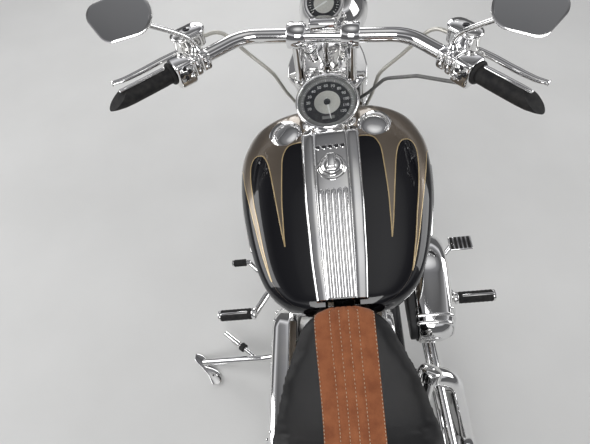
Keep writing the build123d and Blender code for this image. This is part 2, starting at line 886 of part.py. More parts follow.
def spring_fork():
    pieces = []
    for side in (-1, 1):
        head_w = spring_head_w + bridge_thick / 2
        pieces.append(fork_leg(spring_foot_u, spring_foot_w, spring_head_u, head_w, spring_leg_r, side))
        eye = rod((spring_foot_u, side * (leg_y - 14), spring_foot_w), (spring_foot_u, side * (leg_y + 15), spring_foot_w), 15)
        stud = rod((spring_foot_u, side * leg_y, spring_foot_w), (spring_foot_u, side * (rocker_y + rocker_thick + 8), spring_foot_w), stud_r)
        rod_piece = rod((spring_head_u, side * rod_y, spring_head_w), (spring_head_u, side * rod_y, rod_top), rod_r)
        nut = rod((spring_head_u, side * rod_y, upper_spring_high), (spring_head_u, side * rod_y, rod_top + 4), 15, 10)
        pieces += [eye, stud, rod_piece, nut]
    bridge = make_face(Polyline((spring_head_u - 22, -96), (spring_head_u + 22, -96), (spring_head_u + 26, 0), (spring_head_u + 22, 96), (spring_head_u - 22, 96), (spring_head_u - 26, 0), close=True))
    pieces.append(extrude(Pos(0, 0, spring_head_w) * bridge, bridge_thick))
    return fork_frame * joined(pieces)


def coil(radius, low, high, turns):
    """A square-wire coil about the local Z axis, as mitred straight spans."""
    steps = 8
    end_lift = 0.95
    half = spring_wire / 2
    middle = radius - half
    count = round(turns * steps)
    points = []
    for step in range(count + 1):
        turn = 2 * pi / steps * step
        height = low + half + end_lift + (high - low - spring_wire - 2 * end_lift) * step / count
        points.append((middle * cos(turn), middle * sin(turn), height))
    path = Polyline(*points)
    start = Plane(origin=points[0], x_dir=(0, 0, 1), z_dir=path % 0)
    return sweep(start * Rectangle(spring_wire, spring_wire), path=path, transition=Transition.RIGHT)


def fork_springs():
    pieces = []
    for side in (-1, 1):
        at = Pos(spring_head_u, side * rod_y, 0)
        pieces.append(at * coil(spring_r, spring_head_w + bridge_thick + seam, top_clamp_low, 6))
        pieces.append(at * coil(spring_r - 5, top_clamp_low + clamp_thick + 2 * seam, upper_spring_high - seam, 2))
    return [fork_frame * piece for piece in pieces]


def fork_rockers():
    pieces = []
    for side in (-1, 1):
        hull = round_hull(
            [
                (rigid_foot_u, rigid_foot_w, rocker_eye_r),
                (axle_u, axle_w, rocker_eye_r + 3),
                (spring_foot_u, spring_foot_w, rocker_eye_r - 2),
            ],
            16,
        )
        low, high = sorted((side * rocker_y, side * (rocker_y + rocker_thick)))
        plate = slab(hull, low, high)
        holes = [
            (rigid_foot_u, rigid_foot_w, stud_r + pin_gap),
            (axle_u, axle_w, axle_r + pin_gap),
            (spring_foot_u, spring_foot_w, stud_r + pin_gap),
        ]
        for u, w, radius in holes:
            plate = plate - round_bar((u, low - 2, w), (u, high + 2, w), radius)
        pieces.append(fork_frame * plate)
    return pieces


def front_axle():
    outer = rocker_y + rocker_thick
    pieces = [round_bar((axle_u, -outer - 12, axle_w), (axle_u, outer + 12, axle_w), axle_r)]
    for side in (-1, 1):
        pieces.append(rod((axle_u, side * (front_hub_half + 1), axle_w), (axle_u, side * (rocker_y - seam), axle_w), axle_r + 5))
        pieces.append(rod((axle_u, side * (outer + seam), axle_w), (axle_u, side * (outer + 10), axle_w), 17))
    return fork_frame * joined(pieces)


def riser(side):
    foot = on_axis(top_clamp_low + clamp_thick + 2 * seam, 0, side * riser_y)
    top = Vector(bar_x, side * riser_y, bar_z)
    column = rod(tuple(foot), tuple(top), riser_r)
    base = rod(tuple(foot), tuple(foot + (top - foot).normalized() * 12), riser_r + 5)
    clamp = rod((bar_x, side * riser_y - 19, bar_z), (bar_x, side * riser_y + 19, bar_z), bar_r + 11)
    room = round_bar((bar_x, side * riser_y - 40, bar_z), (bar_x, side * riser_y + 40, bar_z), bar_r + 0.02)
    seat_plane = fork_frame * Pos(0, 0, top_clamp_low + clamp_thick + 2 * seam + 200) * Box(400, 400, 400)
    return (joined([column, base, clamp]) - room) & seat_plane


def risers():
    return [riser(-1), riser(1)]


def bar_end_axis():
    start = Vector(bar_x, bar_bend_y, bar_z)
    finish = Vector(bar_end_x, bar_end_y, bar_end_z)
    return start, finish, (finish - start).normalized()


def handlebar():
    bend, finish, along = bar_end_axis()
    inner_end = finish - along * 235
    centre = tube(
        [
            tuple(inner_end),
            (bar_x, bar_bend_y, bar_z),
            (bar_x, -bar_bend_y, bar_z),
            (inner_end.X, -inner_end.Y, inner_end.Z),
        ],
        bar_bend_r,
        bar_r,
    )
    pieces = [centre]
    for side in (-1, 1):
        pieces.append(rod((inner_end.X, side * inner_end.Y, inner_end.Z), (finish.X, side * finish.Y, finish.Z), bar_end_r))
    return joined(pieces)


def on_bar(distance, side=1):
    """A frame on the bar's outer stretch, at a distance from its end: Z outwards along the bar, X up."""
    bend, finish, along = bar_end_axis()
    at = finish - along * distance
    place = Plane(origin=(at.X, side * at.Y, at.Z), x_dir=(0, 0, 1), z_dir=(along.X, side * along.Y, along.Z))
    return place.location


def grips():
    pieces = []
    for side in (-1, 1):
        body = rod((0, 0, 0), (0, 0, grip_length + 4), grip_r)
        flange = rod((0, 0, 0), (0, 0, 6), grip_r + 5)
        core = round_bar((0, 0, -2), (0, 0, grip_length + seam), bar_end_r)
        pieces.append(on_bar(grip_length, side) * (joined([body, flange]) - core))
    return pieces


def hand_controls():
    pieces = []
    for side in (-1, 1):
        at = on_bar(grip_length + 1, side)
        switch = Pos(-6, 0, -24) * chamfer(Box(58, 52, 44).edges(), 7)
        clamp = Pos(0, 0, -66) * chamfer(Box(44, 46, 34).edges(), 6)
        reservoir = Pos(26, side * 40, -66) * chamfer(Box(40, 42, 62).edges(), 8)
        neck = Pos(4, side * 26, -62) * Box(26, 34, 22)
        lever = tube([(-2, side * 42, -64), (-4, side * 50, 20), (-6, side * 46, grip_length + 12)], [120], 7, cord_sides)
        core = Pos(0, 0, -50) * Cylinder(bar_end_r + 0.02, 120)
        whole = joined([switch, clamp, reservoir, neck, lever]) - core
        pieces.append(at * whole)
    return pieces


def mirrors():
    pieces = []
    for side in (-1, 1):
        at = on_bar(grip_length + 67, side)
        root = (at * Pos(18, side * -4, 0)).position
        centre = Vector(1077, side * 381, 1160)
        stem = tube([tuple(root), (root.X - 6, root.Y + side * 10, 1118), (centre.X + 10, centre.Y - side * 24, centre.Z - 16)], [30], 5.5, cord_sides)
        facing = Plane(origin=centre, x_dir=(0.25, -side * 0.97, 0), z_dir=(-0.62, 0, 0.6)).location
        outline = make_hull((Pos(-mirror_width * 0.14, 0) * Circle(mirror_height / 2)).edges() + (Pos(mirror_width * 0.4, -8) * Circle(mirror_height * 0.16)).edges())
        back = loft([outline, Pos(-6, 0, -24) * scale(outline, 0.62)])
        shell = facing * back
        clamp_room = at * Box(44 + 2 * seam, 60, 60)
        pieces.append(joined([stem - clamp_room, shell]))
    return pieces


def tachometer():
    place = Pos(1274, 0, 1070) * Rot(0, -38, 0)
    cup = place * Pos(0, 0, -tach_depth / 2) * Cylinder(tach_r, tach_depth)
    cup = chamfer(cup.edges(), 3)
    post = rod((1280, 0, 1036), tuple(on_axis(top_clamp_low + clamp_thick + 20, 40)), 8)
    foot = rod(tuple(on_axis(top_clamp_low + clamp_thick + 2 * seam, 40)), tuple(on_axis(top_clamp_low + clamp_thick + 24, 40)), 14)
    return joined([cup, post, foot])


def headlamp():
    bucket = revolve(
        Plane.XZ
        * make_face(
            Polyline((0, 0), (0, lamp_r), (-lamp_depth * 0.5, lamp_r), (-lamp_depth, lamp_r * 0.35), (-lamp_depth, 0), close=True)
        ),
        Axis.X,
    )
    level = Pos(lamp_u, 0, lamp_w) * Rot(0, rake - 2, 0)
    tab_u = 112 + seam
    ear = block((tab_u, -18, top_clamp_low - 26), (lamp_u - 40, 18, top_clamp_low - 8))
    tab = block((tab_u, -22, top_clamp_low - 26), (tab_u + 7, 22, top_clamp_low + clamp_thick))
    return fork_frame * joined([level * bucket, ear, tab])


def front_fender():
    inner_r = front_tyre_r + 18
    outer_r = inner_r + sheet
    half = 57
    outer = [(-half, inner_r - 52), (-half, inner_r - 14), (-half + 20, outer_r), (half - 20, outer_r), (half, inner_r - 14), (half, inner_r - 52)]
    inner = [(half - sheet, inner_r - 52), (half - sheet, inner_r - 15), (half - 21, inner_r), (-half + 21, inner_r), (-half + sheet, inner_r - 15), (-half + sheet, inner_r - 52)]
    pieces = [Pos(*front_axle_at) * Rot(0, -96, 0) * spun(outer + inner, arc=112)]
    for side in (-1, 1):
        place = fork_frame * Pos(rigid_foot_u + 1, 0, axle_w + 296)
        low, high = sorted((side * (half - 1), side * (leg_y - rigid_leg_r - seam)))
        pieces.append(place * block((-12, low, -9), (12, high, 9)))
    return joined(pieces)


def front_caliper():
    low, high = front_disc_y - 14, front_disc_y + disc_thick + 13
    body = block((rigid_foot_u - 74, low, axle_w + 66), (rigid_foot_u - 16, high, axle_w + 158), 6)
    slot = block((rigid_foot_u - 100, front_disc_y - 2, axle_w + 20), (rigid_foot_u + 10, front_disc_y + disc_thick + 2, axle_w + 142))
    tab = block((rigid_foot_u - 26, high - 6, axle_w + 84), (rigid_foot_u + 6, leg_y - rigid_leg_r + 2, axle_w + 112))
    room = round_bar((rigid_foot_u, leg_y, rigid_foot_w), (rigid_head_u, leg_y, top_clamp_low), rigid_leg_r + seam)
    return fork_frame * (joined([body, tab]) - slot - room)


def control_cables():
    foot_w = lower_clamp_low + clamp_thick + 4 * seam
    routes = []
    for side in (-1, 1):
        inner = on_bar(grip_length + 1, side) * Pos(20, side * 40, -98)
        routes.append(
            [
                tuple(inner.position),
                (1240, side * 236, 1030),
                (1246, side * 176, 958),
                tuple(on_axis(1074, 6, side * 126)),
                tuple(on_axis(950, 2, side * 112)),
                tuple(on_axis(foot_w, 4, side * 90)),
            ]
        )
    under = on_bar(grip_length + 25, -1) * Pos(-42, 0, 0)
    throttle = [
        tuple(under.position),
        (1180, -208, 948),
        tuple(on_axis(1090, -14, -140)),
        tuple(on_axis(1000, -14, -104)),
        tuple(on_axis(900, -4, -66)),
        tuple(on_axis(foot_w, 0, -58)),
    ]
    routes.append(throttle)
    return [tube(points, 24, hose_r, cord_sides) for points in routes]


# Controls and stand
def foot_controls():
    pieces = []
    for side in (-1, 1):
        inner_y = side * (peg_y - peg_length)
        elbow = (1062, side * 234, 290)
        rail_room = round_bar(tuple(down_tube(420, side)), tuple(down_tube(245, side)), rail_r + seam)
        arm = tube([tuple(down_tube(290, side)), elbow, (peg_x, inner_y, peg_z)], [40], 11) - rail_room
        peg = rod((peg_x, inner_y, peg_z), (peg_x, side * peg_y, peg_z), peg_r)
        hub = rod((1062, side * 214, 290), (1062, side * 262, 290), 18)
        lever_end = (toe_x, side * (toe_y - 52), toe_z)
        lever = rod((1062, side * 256, 290), lever_end, 8)
        if side > 0:
            toe = rod(lever_end, (toe_x, side * toe_y, toe_z), 11)
        else:
            toe = block((toe_x - 24, -toe_y - 4, toe_z - 4), (toe_x + 24, -toe_y + 66, toe_z + 10), 4)
        pieces.append(joined([arm, peg, hub, lever, toe]))
    return pieces


stand_axis = (-0.04, 0.29, 0.956)


def stand_place():
    """Frame at the stand's hinge: local Z along the hinge pin, Y outwards."""
    return Plane(origin=(stand_x, stand_y, stand_z), x_dir=(1, 0, 0), z_dir=stand_axis).location


def side_stand():
    eye = stand_place() * Cylinder(stand_eye_r, 24)
    floor_z = tan(radians(lean)) * stand_foot_y
    spot = (standing * Pos(stand_foot_x, stand_foot_y, floor_z)).position
    to_bike = standing.inverse()
    ankle = (to_bike * Pos(spot.X, spot.Y, 15)).position
    knee = (stand_place() * Pos(6, knee_reach, 0)).position
    leg = tube([(stand_x, stand_y, stand_z), tuple(knee), tuple(ankle)], [120], stand_leg_r)
    blade = [(-62, -64), (-30, -52), (26, 8), (34, 34), (10, 34), (-44, -18), (-74, -34)]
    foot = to_bike * Pos(spot.X, spot.Y, 0) * extrude(make_face(Polyline(*blade, close=True)), 9)
    tab = rod(tuple(knee + Vector(2, 22, -8)), tuple(knee + Vector(98, 138, 1)), 8)
    pin_room = stand_place() * Cylinder(stud_r + pin_gap, 60)
    return joined([eye, leg, foot, tab]) - pin_room


def stand_bracket():
    half = 12 + seam
    clevis = block((-24, -44, -half - 7), (24, 20, half + 7)) + block((-24, -44, -34), (24, -6, -half - 6))
    slot = block((-30, -27, -half), (30, 30, half))
    pin = Cylinder(stud_r, 2 * half + 20)
    rail_room = round_bar((stand_x - 60, rail_y, rail_z), (stand_x + 60, rail_y, rail_z), rail_r + seam)
    return stand_place() * (clevis - slot + pin) - rail_room


# Node name, function, moves with the fork
nodes = [
    ("frame_backbone", backbone, False),
    ("frame_rails", frame_rails, False),
    ("stand_bracket", stand_bracket, False),
    ("swingarm", swingarm, False),
    ("rear_axle", rear_axle, False),
    ("rear_caliper", rear_caliper, False),
    ("drive_belt", drive_belt, False),
    ("crankcase", crankcase, False),
    ("cylinders", cylinders, False),
    ("rocker_boxes", rocker_boxes, False),
    ("cam_cover", cam_cover, False),
    ("intake", intake, False),
    ("air_cleaner", air_cleaner, False),
    ("primary_cover", primary_cover, False),
    ("gearbox", gearbox, False),
    ("exhausts", exhausts, False),
    ("oil_tank", oil_tank, False),
    ("fuel_tanks", fuel_tanks, False),
    ("tank_console", tank_console, False),
    ("speedometer", speedometer, False),
    ("fuel_caps", fuel_caps, False),
    ("seat", seat, False),
    ("rear_fender", rear_fender, False),
    ("fender_struts", fender_struts, False),
    ("tail_lamp", tail_lamp, False),
    ("plate_bracket", plate_bracket, False),
    ("foot_controls", foot_controls, False),
    ("rear_wheel", rear_wheel, False),
    ("rear_tyre", rear_tyre, False),
    ("rear_disc", rear_disc, False),
    ("rear_pulley", rear_pulley, False),
    ("side_stand", side_stand, False),
    ("rigid_fork", rigid_fork, True),
    ("top_clamp", top_clamp, True),
    ("spring_fork", spring_fork, True),
    ("fork_springs", fork_springs, True),
    ("fork_rockers", fork_rockers, True),
    ("front_axle", front_axle, True),
    ("risers", risers, True),
    ("handlebar", handlebar, True),
    ("grips", grips, True),
    ("hand_controls", hand_controls, True),
    ("mirrors", mirrors, True),
    ("tachometer", tachometer, True),
    ("headlamp", headlamp, True),
    ("front_fender", front_fender, True),
    ("front_caliper", front_caliper, True),
    ("control_cables", control_cables, True),
    ("front_wheel", front_wheel, True),
    ("front_tyre", front_tyre, True),
    ("front_disc", front_disc, True),
]

os.makedirs("parts", exist_ok=True)
for name, make, steered in nodes:
    made = make()
    made = made if isinstance(made, list) else [made]
    place = standing * turned if steered else standing
    solids = [place * solid for shape in made for solid in shape.solids()]
    whole = solids[0] if len(solids) == 1 else Compound(children=solids)
    export_step(whole, f"parts/{name}.step")
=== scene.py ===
import bpy
import bmesh
from math import cos, pi, radians, sin, sqrt, tan
from mathutils import Euler, Matrix, Vector
from mathutils.geometry import convex_hull_2d


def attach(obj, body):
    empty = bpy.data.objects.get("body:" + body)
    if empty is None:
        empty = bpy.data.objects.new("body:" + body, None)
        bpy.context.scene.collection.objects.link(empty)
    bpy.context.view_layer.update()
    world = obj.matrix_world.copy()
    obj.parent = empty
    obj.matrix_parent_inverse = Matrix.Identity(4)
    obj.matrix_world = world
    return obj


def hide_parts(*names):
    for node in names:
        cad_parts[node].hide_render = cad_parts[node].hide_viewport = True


# Chopper on its side stand. Pieces are modelled in millimetres on the upright bike (X forward, Y left)
# or in the steering frame (Z up the stem), then their place is put into the mesh.
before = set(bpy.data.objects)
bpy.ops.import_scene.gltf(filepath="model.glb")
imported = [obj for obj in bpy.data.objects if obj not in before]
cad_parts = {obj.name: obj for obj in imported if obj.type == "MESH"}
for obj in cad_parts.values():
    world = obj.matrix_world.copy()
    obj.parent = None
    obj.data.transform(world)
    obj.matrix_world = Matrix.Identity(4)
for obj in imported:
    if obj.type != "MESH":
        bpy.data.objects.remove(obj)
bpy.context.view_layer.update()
print("frame loaded")


def placing(at, turn):
    return Matrix.Translation(at) @ Euler(turn).to_matrix().to_4x4() @ Matrix.Scale(0.001, 4)


bikePlace = placing((-0.8, -0.129, 0.0), (-0.139626, -0.000955, 0.0))
forkPlace = placing((1.001999, -0.129, 0.001721), (-0.079136, -0.569959, -0.072906))
rake = radians(32)
stemFrame = Matrix(((cos(rake), 0, -sin(rake), 1802), (0, 1, 0, 0), (sin(rake), 0, cos(rake), 0),
                    (0, 0, 0, 1)))
barPlace = forkPlace @ stemFrame.inverted()  # for steered pieces drawn on the upright bike
bothSides = ((1, "left"), (-1, "right"))
sideOn = Matrix.Rotation(pi / 2, 4, "X")  # stands a shape drawn flat in (X, Z) up in the side view
acrossBike = Matrix.Rotation(-pi / 2, 4, "X")  # lays a turned shape along an axle
weld = 0.01  # points nearer than this become one


def onStem(ahead, left, up):  # a point of the steering frame, as it lies on the upright bike
    return stemFrame @ Vector((ahead, left, up))


# Shaping helpers
def clean():
    if bpy.context.mode != "OBJECT":
        bpy.ops.object.mode_set(mode="OBJECT")
    bpy.ops.object.select_all(action="DESELECT")


def selected(piece):
    clean()
    piece.select_set(True)
    bpy.context.view_layer.objects.active = piece


def editing(piece):
    selected(piece)
    bpy.ops.object.mode_set(mode="EDIT")
    bpy.ops.mesh.select_all(action="SELECT")


def outwards(piece):  # every normal turned outwards, then back to object mode
    if bpy.context.mode != "EDIT_MESH":
        editing(piece)
    bpy.ops.mesh.normals_make_consistent(inside=False)
    clean()
    return piece


def modified(piece, kind, **settings):  # a modifier, set and applied
    selected(piece)
    change = piece.modifiers.new(kind.lower(), kind)
    for setting, value in settings.items():
        setattr(change, setting, value)
    bpy.ops.object.modifier_apply(modifier=change.name)
    return piece


def smoothed(points, steps, closed=False):
    made = []
    count = len(points)
    for span in range(count if closed else count - 1):
        near = []
        for shift in (-1, 0, 1, 2):
            near.append(points[(span + shift) % count if closed else min(max(span + shift, 0), count - 1)])
        for step in range(steps):
            t = step / steps
            made.append(tuple(0.5 * (2 * b + (c - a) * t + (2 * a - 5 * b + 4 * c - d) * t * t
                                     + (3 * b - a - 3 * c + d) * t ** 3) for a, b, c, d in zip(*near)))
    return made if closed else made + [tuple(points[-1])]


def turned(outline, sides=48, ring=False):  # outline of (radius, height), spun about Z
    clean()
    bpy.ops.mesh.primitive_circle_add(vertices=len(outline), radius=1)
    piece = bpy.context.object
    for vert, (radius, height) in zip(piece.data.vertices, outline):
        vert.co = (radius, 0, height)
    editing(piece)
    if not ring:
        shape = bmesh.from_edit_mesh(piece.data)
        shape.verts.ensure_lookup_table()
        shape.edges.remove(shape.edges.get((shape.verts[0], shape.verts[-1])))
        bmesh.update_edit_mesh(piece.data)
    bpy.ops.mesh.spin(steps=sides, angle=2 * pi, center=(0, 0, 0), axis=(0, 0, 1))
    bpy.ops.mesh.select_all(action="SELECT")
    bpy.ops.mesh.remove_doubles(threshold=weld)
    return outwards(piece)


def pin(radius, low, high, sides=48):
    return turned([(0, low), (radius, low), (radius, high), (0, high)], sides)


def skinned(rows, wrap=True, caps=True):  # a grid laid through rows of points
    clean()
    across = len(rows[0]) + (1 if wrap else 0)
    bpy.ops.mesh.primitive_grid_add(x_subdivisions=across - 1, y_subdivisions=len(rows) - 1)
    piece = bpy.context.object
    points = [point for row in rows for point in (list(row) + [row[0]] if wrap else row)]
    for vert, point in zip(piece.data.vertices, points):
        vert.co = point
    editing(piece)
    bpy.ops.mesh.remove_doubles(threshold=weld)
    if caps:
        bpy.ops.mesh.fill_holes(sides=0)
        bpy.ops.mesh.select_all(action="SELECT")
        return outwards(piece)
    clean()
    return piece


def looped(rows):  # rows of points that close on themselves both ways
    return outwards(skinned(rows + [rows[0]], caps=False))


def halved(side, ends):  # one side's points followed by their mirror image, without the shared ends
    return side + [(x, -y, z) for x, y, z in reversed(side[ends:-1])]


def prism(outline, low, high):  # a flat outline raised along Z
    clean()
    bpy.ops.mesh.primitive_circle_add(vertices=len(outline), radius=1, fill_type="NGON")
    piece = bpy.context.object
    for vert, (x, y) in zip(piece.data.vertices, outline):
        vert.co = (x, y, low)
    editing(piece)
    bpy.ops.mesh.extrude_region_move(TRANSFORM_OT_translate={"value": (0, 0, high - low)})
    bpy.ops.mesh.select_all(action="SELECT")
    return outwards(piece)


def plate(outline, lowY, highY):  # an outline of (X, Z) raised across the bike
    return moved(prism(outline, -highY, -lowY), sideOn)


def middleOf(outline):
    return Vector((sum(x for x, y in outline) / len(outline), sum(y for x, y in outline) / len(outline)))


def shrunk(outline, share):
    middle = middleOf(outline)
    return [(middle.x + (x - middle.x) * share, middle.y + (y - middle.y) * share) for x, y in outline]


def domed(outline, steps):  # an outline shrunk about its middle, one ring for each (share, height)
    return skinned([[(x, y, height) for x, y in shrunk(outline, share)] for share, height in steps])


def around(circles, steps=40):  # outline pulled tight round circles of (x, y, radius)
    points = []
    for x, y, radius in circles:
        for step in range(steps):
            turn = 2 * pi * step / steps
            points.append(Vector((x + radius * cos(turn), y + radius * sin(turn))))
    return [tuple(points[index]) for index in convex_hull_2d(points)]


def softBox(size, at=(0, 0, 0), edge=3, segments=3):
    clean()
    bpy.ops.mesh.primitive_cube_add(size=1, location=at)
    piece = bpy.context.object
    for vert in piece.data.vertices:
        vert.co = [vert.co[axis] * size[axis] + at[axis] for axis in range(3)]
    piece.location = (0, 0, 0)
    editing(piece)
    bpy.ops.mesh.bevel(offset=edge, segments=segments, affect="EDGES")
    clean()
    return piece


def rounded(points, bend, steps=7):
    points = [Vector(point) for point in points]
    made = [points[0]]
    for before, corner, after in zip(points, points[1:], points[2:]):
        inWay = (before - corner).normalized()
        outWay = (after - corner).normalized()
        half = inWay.angle(outWay) / 2
        reach = min(bend / tan(half), 0.48 * (before - corner).length, 0.48 * (after - corner).length)
        middle = corner + (inWay + outWay).normalized() * reach / cos(half)
        first, last = corner + inWay * reach - middle, corner + outWay * reach - middle
        for step in range(steps + 1):
            made.append(middle + first.normalized().slerp(last.normalized(), step / steps) * first.length)
    return made + [points[-1]]


def tubeAlong(path, radius, sides=16, widths=None, looped=False):
    line = bpy.data.curves.new("tube", "CURVE")
    line.dimensions = "3D"
    run = line.splines.new("POLY")
    run.points.add(len(path) - 1)
    for index, point in enumerate(path):
        run.points[index].co = (*point, 1)
        run.points[index].radius = widths[index] if widths else 1
    run.use_cyclic_u = looped
    line.bevel_depth = radius
    line.bevel_resolution = (sides - 4) // 2
    line.use_fill_caps = True
    piece = bpy.data.objects.new("tube", line)
    bpy.context.collection.objects.link(piece)
    selected(piece)
    bpy.ops.object.convert(target="MESH")
    piece = bpy.context.object
    editing(piece)
    bpy.ops.mesh.remove_doubles(threshold=weld)
    return outwards(piece)


def bentTube(points, bend, radius, sides=16):
    return tubeAlong(rounded(points, bend), radius, sides)


def facing(at, way, up=(0, 0, 1)):  # a place whose Z points the given way
    way = Vector(way).normalized()
    side = Vector(up).cross(way)
    if side.length < 0.05:
        side = Vector((1, 0, 0)).cross(way)
    side.normalize()
    tall = way.cross(side)
    place = Matrix((side, tall, way)).transposed().to_4x4()
    place.translation = Vector(at)
    return place


def leaned(at, tilt):  # a place whose Z leans back by the tilt, for the dials
    return facing(at, (-sin(radians(tilt)), 0, cos(radians(tilt))), (1, 0, 0))


def moved(piece, place):
    piece.data.transform(place)
    if place.determinant() < 0:
        piece.data.flip_normals()
    return piece


def rod(start, finish, radius, endRadius=None, sides=24, edge=1.0):
    start, finish = Vector(start), Vector(finish)
    tall = (finish - start).length
    last = radius if endRadius is None else endRadius
    outline = [(0, 0), (max(radius - edge, 0.1), 0), (radius, edge), (last, tall - edge),
               (max(last - edge, 0.1), tall), (0, tall)]
    return moved(turned(outline, sides), facing(start, finish - start))


def shifted(piece, by):
    return moved(piece, Matrix.Translation(by))


def turnedAt(outline, sides, at, way):
    return moved(turned(outline, sides), facing(at, way))


def copyOf(piece, place):
    twin = piece.copy()
    twin.data = piece.data.copy()
    bpy.context.collection.objects.link(twin)
    return moved(twin, place)


def repeated(piece, places):
    made = [copyOf(piece, place) for place in places]
    bpy.data.objects.remove(piece)
    return joined(made)


def ringOf(count, at=(0, 0, 0)):  # places spread evenly about Z
    return [Matrix.Rotation(2 * pi * number / count, 4, "Z") @ Matrix.Translation(at)
            for number in range(count)]


def joined(pieces):
    clean()
    for piece in pieces:
        piece.select_set(True)
    bpy.context.view_layer.objects.active = pieces[0]
    if len(pieces) > 1:
        bpy.ops.object.join()
    return bpy.context.object


def mirrored(piece):  # the same piece on the other side of the bike, as well
    return joined([piece, copyOf(piece, Matrix.Scale(-1, 4, (0, 1, 0)))])


def softened(piece, width, segments=2):
    return modified(piece, "BEVEL", width=width, segments=segments, limit_method="ANGLE",
                    angle_limit=radians(35), use_clamp_overlap=True)


def cut(piece, tool):  # takes the tool's shape out of the piece
    modified(piece, "BOOLEAN", operation="DIFFERENCE", solver="EXACT", object=tool)
    bpy.data.objects.remove(tool)
    return piece


def screwAt(at, way, radius=5, tall=4):  # socket screw with its recess
    return turnedAt([(0, 0), (radius, 0), (radius, tall * 0.75), (radius * 0.85, tall), (radius * 0.5, tall),
                     (radius * 0.46, tall * 0.4), (0, tall * 0.4)], 14, at, way)


def capNut(at, way, radius=9, tall=12):
    skirt = turned([(0, 0), (radius * 1.25, 0), (radius * 1.25, 1.6), (radius * 1.05, 2), (0, 2)], 24)
    flats = turned([(0, 1.8), (radius, 1.8), (radius, tall * 0.55), (radius * 0.82, tall * 0.62),
                    (0, tall * 0.62)], 6)
    dome = turned([(0, tall * 0.6), (radius * 0.78, tall * 0.6), (radius * 0.66, tall * 0.8),
                   (radius * 0.36, tall * 0.95), (0, tall)], 20)
    return moved(joined([skirt, flats, dome]), facing(at, way))


def carrierBolts(height):  # five bolts on a wheel's disc or pulley
    turns = [2 * pi * (number + 0.5) / 5 for number in range(5)]
    return [screwAt((38 * cos(turn), 38 * sin(turn), height), (0, 0, 1), 5, 4) for turn in turns]


slotOf = {  # slot of each finish, unless a piece asks for another
    "chrome": "chrome", "mirror_glass": "chrome", "bright_steel": "steel", "cast_alloy": "alloy",
    "dark_cast": "engine_black", "black_gloss": "paint", "scalloped_paint": "paint", "gold_line": "paint",
    "frame_paint": "frame_black", "grip_rubber": "grip_rubber", "tyre_rubber": "tyre",
    "belt_rubber": "belt_rubber", "hose_braid": "hose", "cable_grey": "hose", "dial_silver": "dial",
    "dial_black": "dial", "dial_grey": "dial", "dial_white": "dial", "dark_lens": "dial",
    "clear_glass": "dial", "black_hide": "hide", "tan_suede": "hide", "pale_thread": "hide",
    "red_lens": "lens_red",
}


def done(piece, name, body, finish, place=bikePlace, node=None, slot=None, smooth=32):
    moved(piece, place)
    selected(piece)
    piece.name = name
    piece.data.name = name
    piece.data.materials.clear()
    piece.data.materials.append(finish)
    for face in piece.data.polygons:
        face.material_index = 0
    bpy.ops.object.shade_smooth_by_angle(angle=radians(smooth))
    slot = slot or slotOf[finish.name.split(".")[0]]
    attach(piece, body)
    if node:
        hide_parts(*([node] if isinstance(node, str) else node))
    piece.select_set(False)
    return piece


# Finishes
def newFinish(name):
    finish = bpy.data.materials.new(name)
    finish.use_nodes = True
    nodes = finish.node_tree.nodes
    return finish, nodes, finish.node_tree.links, nodes["Principled BSDF"], nodes.new("ShaderNodeTexCoord")


def added(nodes, kind, **values):  # lower-case names are settings of the node, the others its inputs
    node = nodes.new("ShaderNode" + kind)
    for name, value in values.items():
        if name.islower():
            setattr(node, name, value)
        else:
            node.inputs[name.replace("_", " ")].default_value = value
    return node


def wired(links, *runs):  # each run is node, output, node, input
    for start, output, finish, entry in runs:
        links.new(start.outputs[output], finish.inputs[entry])


def toned(nodes, links, texture, tones, low=0, high=1):  # a ramp between two colours
    ramp = added(nodes, "ValToRGB")
    for stop, tone, position in zip(ramp.color_ramp.elements, tones, (low, high)):
        stop.color = (*tone, 1)
        stop.position = position
    wired(links, (*texture, ramp, "Fac"))
    return ramp


def shining(nodes, links, cloud, shader, rough):  # roughness that varies with the cloud
    gloss = added(nodes, "MapRange", To_Min=rough[0], To_Max=rough[1])
    wired(links, (cloud, "Fac", gloss, "Value"), (gloss, "Result", shader, "Roughness"))


def bumped(nodes, links, texture, shader, strength, depth):
    bump = added(nodes, "Bump", Strength=strength, Distance=depth)
    wired(links, (*texture, bump, "Height"), (bump, "Normal", shader, "Normal"))


def setInputs(shader, **values):
    for name, value in values.items():
        shader.inputs[name.replace("_", " ")].default_value = value


def grained(name, tone, other, metallic, rough, grain=40, fine=900, depth=0.0001, coat=0, strength=0.4):
    finish, nodes, links, shader, spot = newFinish(name)
    cloud = added(nodes, "TexNoise", Scale=grain, Detail=5)
    speck = added(nodes, "TexNoise", Scale=fine, Detail=3)
    wired(links, (spot, "Object", cloud, "Vector"), (spot, "Object", speck, "Vector"))
    ramp = toned(nodes, links, (cloud, "Fac"), (tone, other), 0.35, 0.68)
    wired(links, (ramp, "Color", shader, "Base Color"))
    shining(nodes, links, cloud, shader, rough)
    bumped(nodes, links, (speck, "Fac"), shader, strength, depth)
    setInputs(shader, Metallic=metallic, Coat_Weight=coat, Coat_Roughness=0.04)
    if not metallic and tone[0] < 0.1:  # black paints and rubbers stay black under soft light
        setInputs(shader, Specular_IOR_Level=0.2)
    return finish


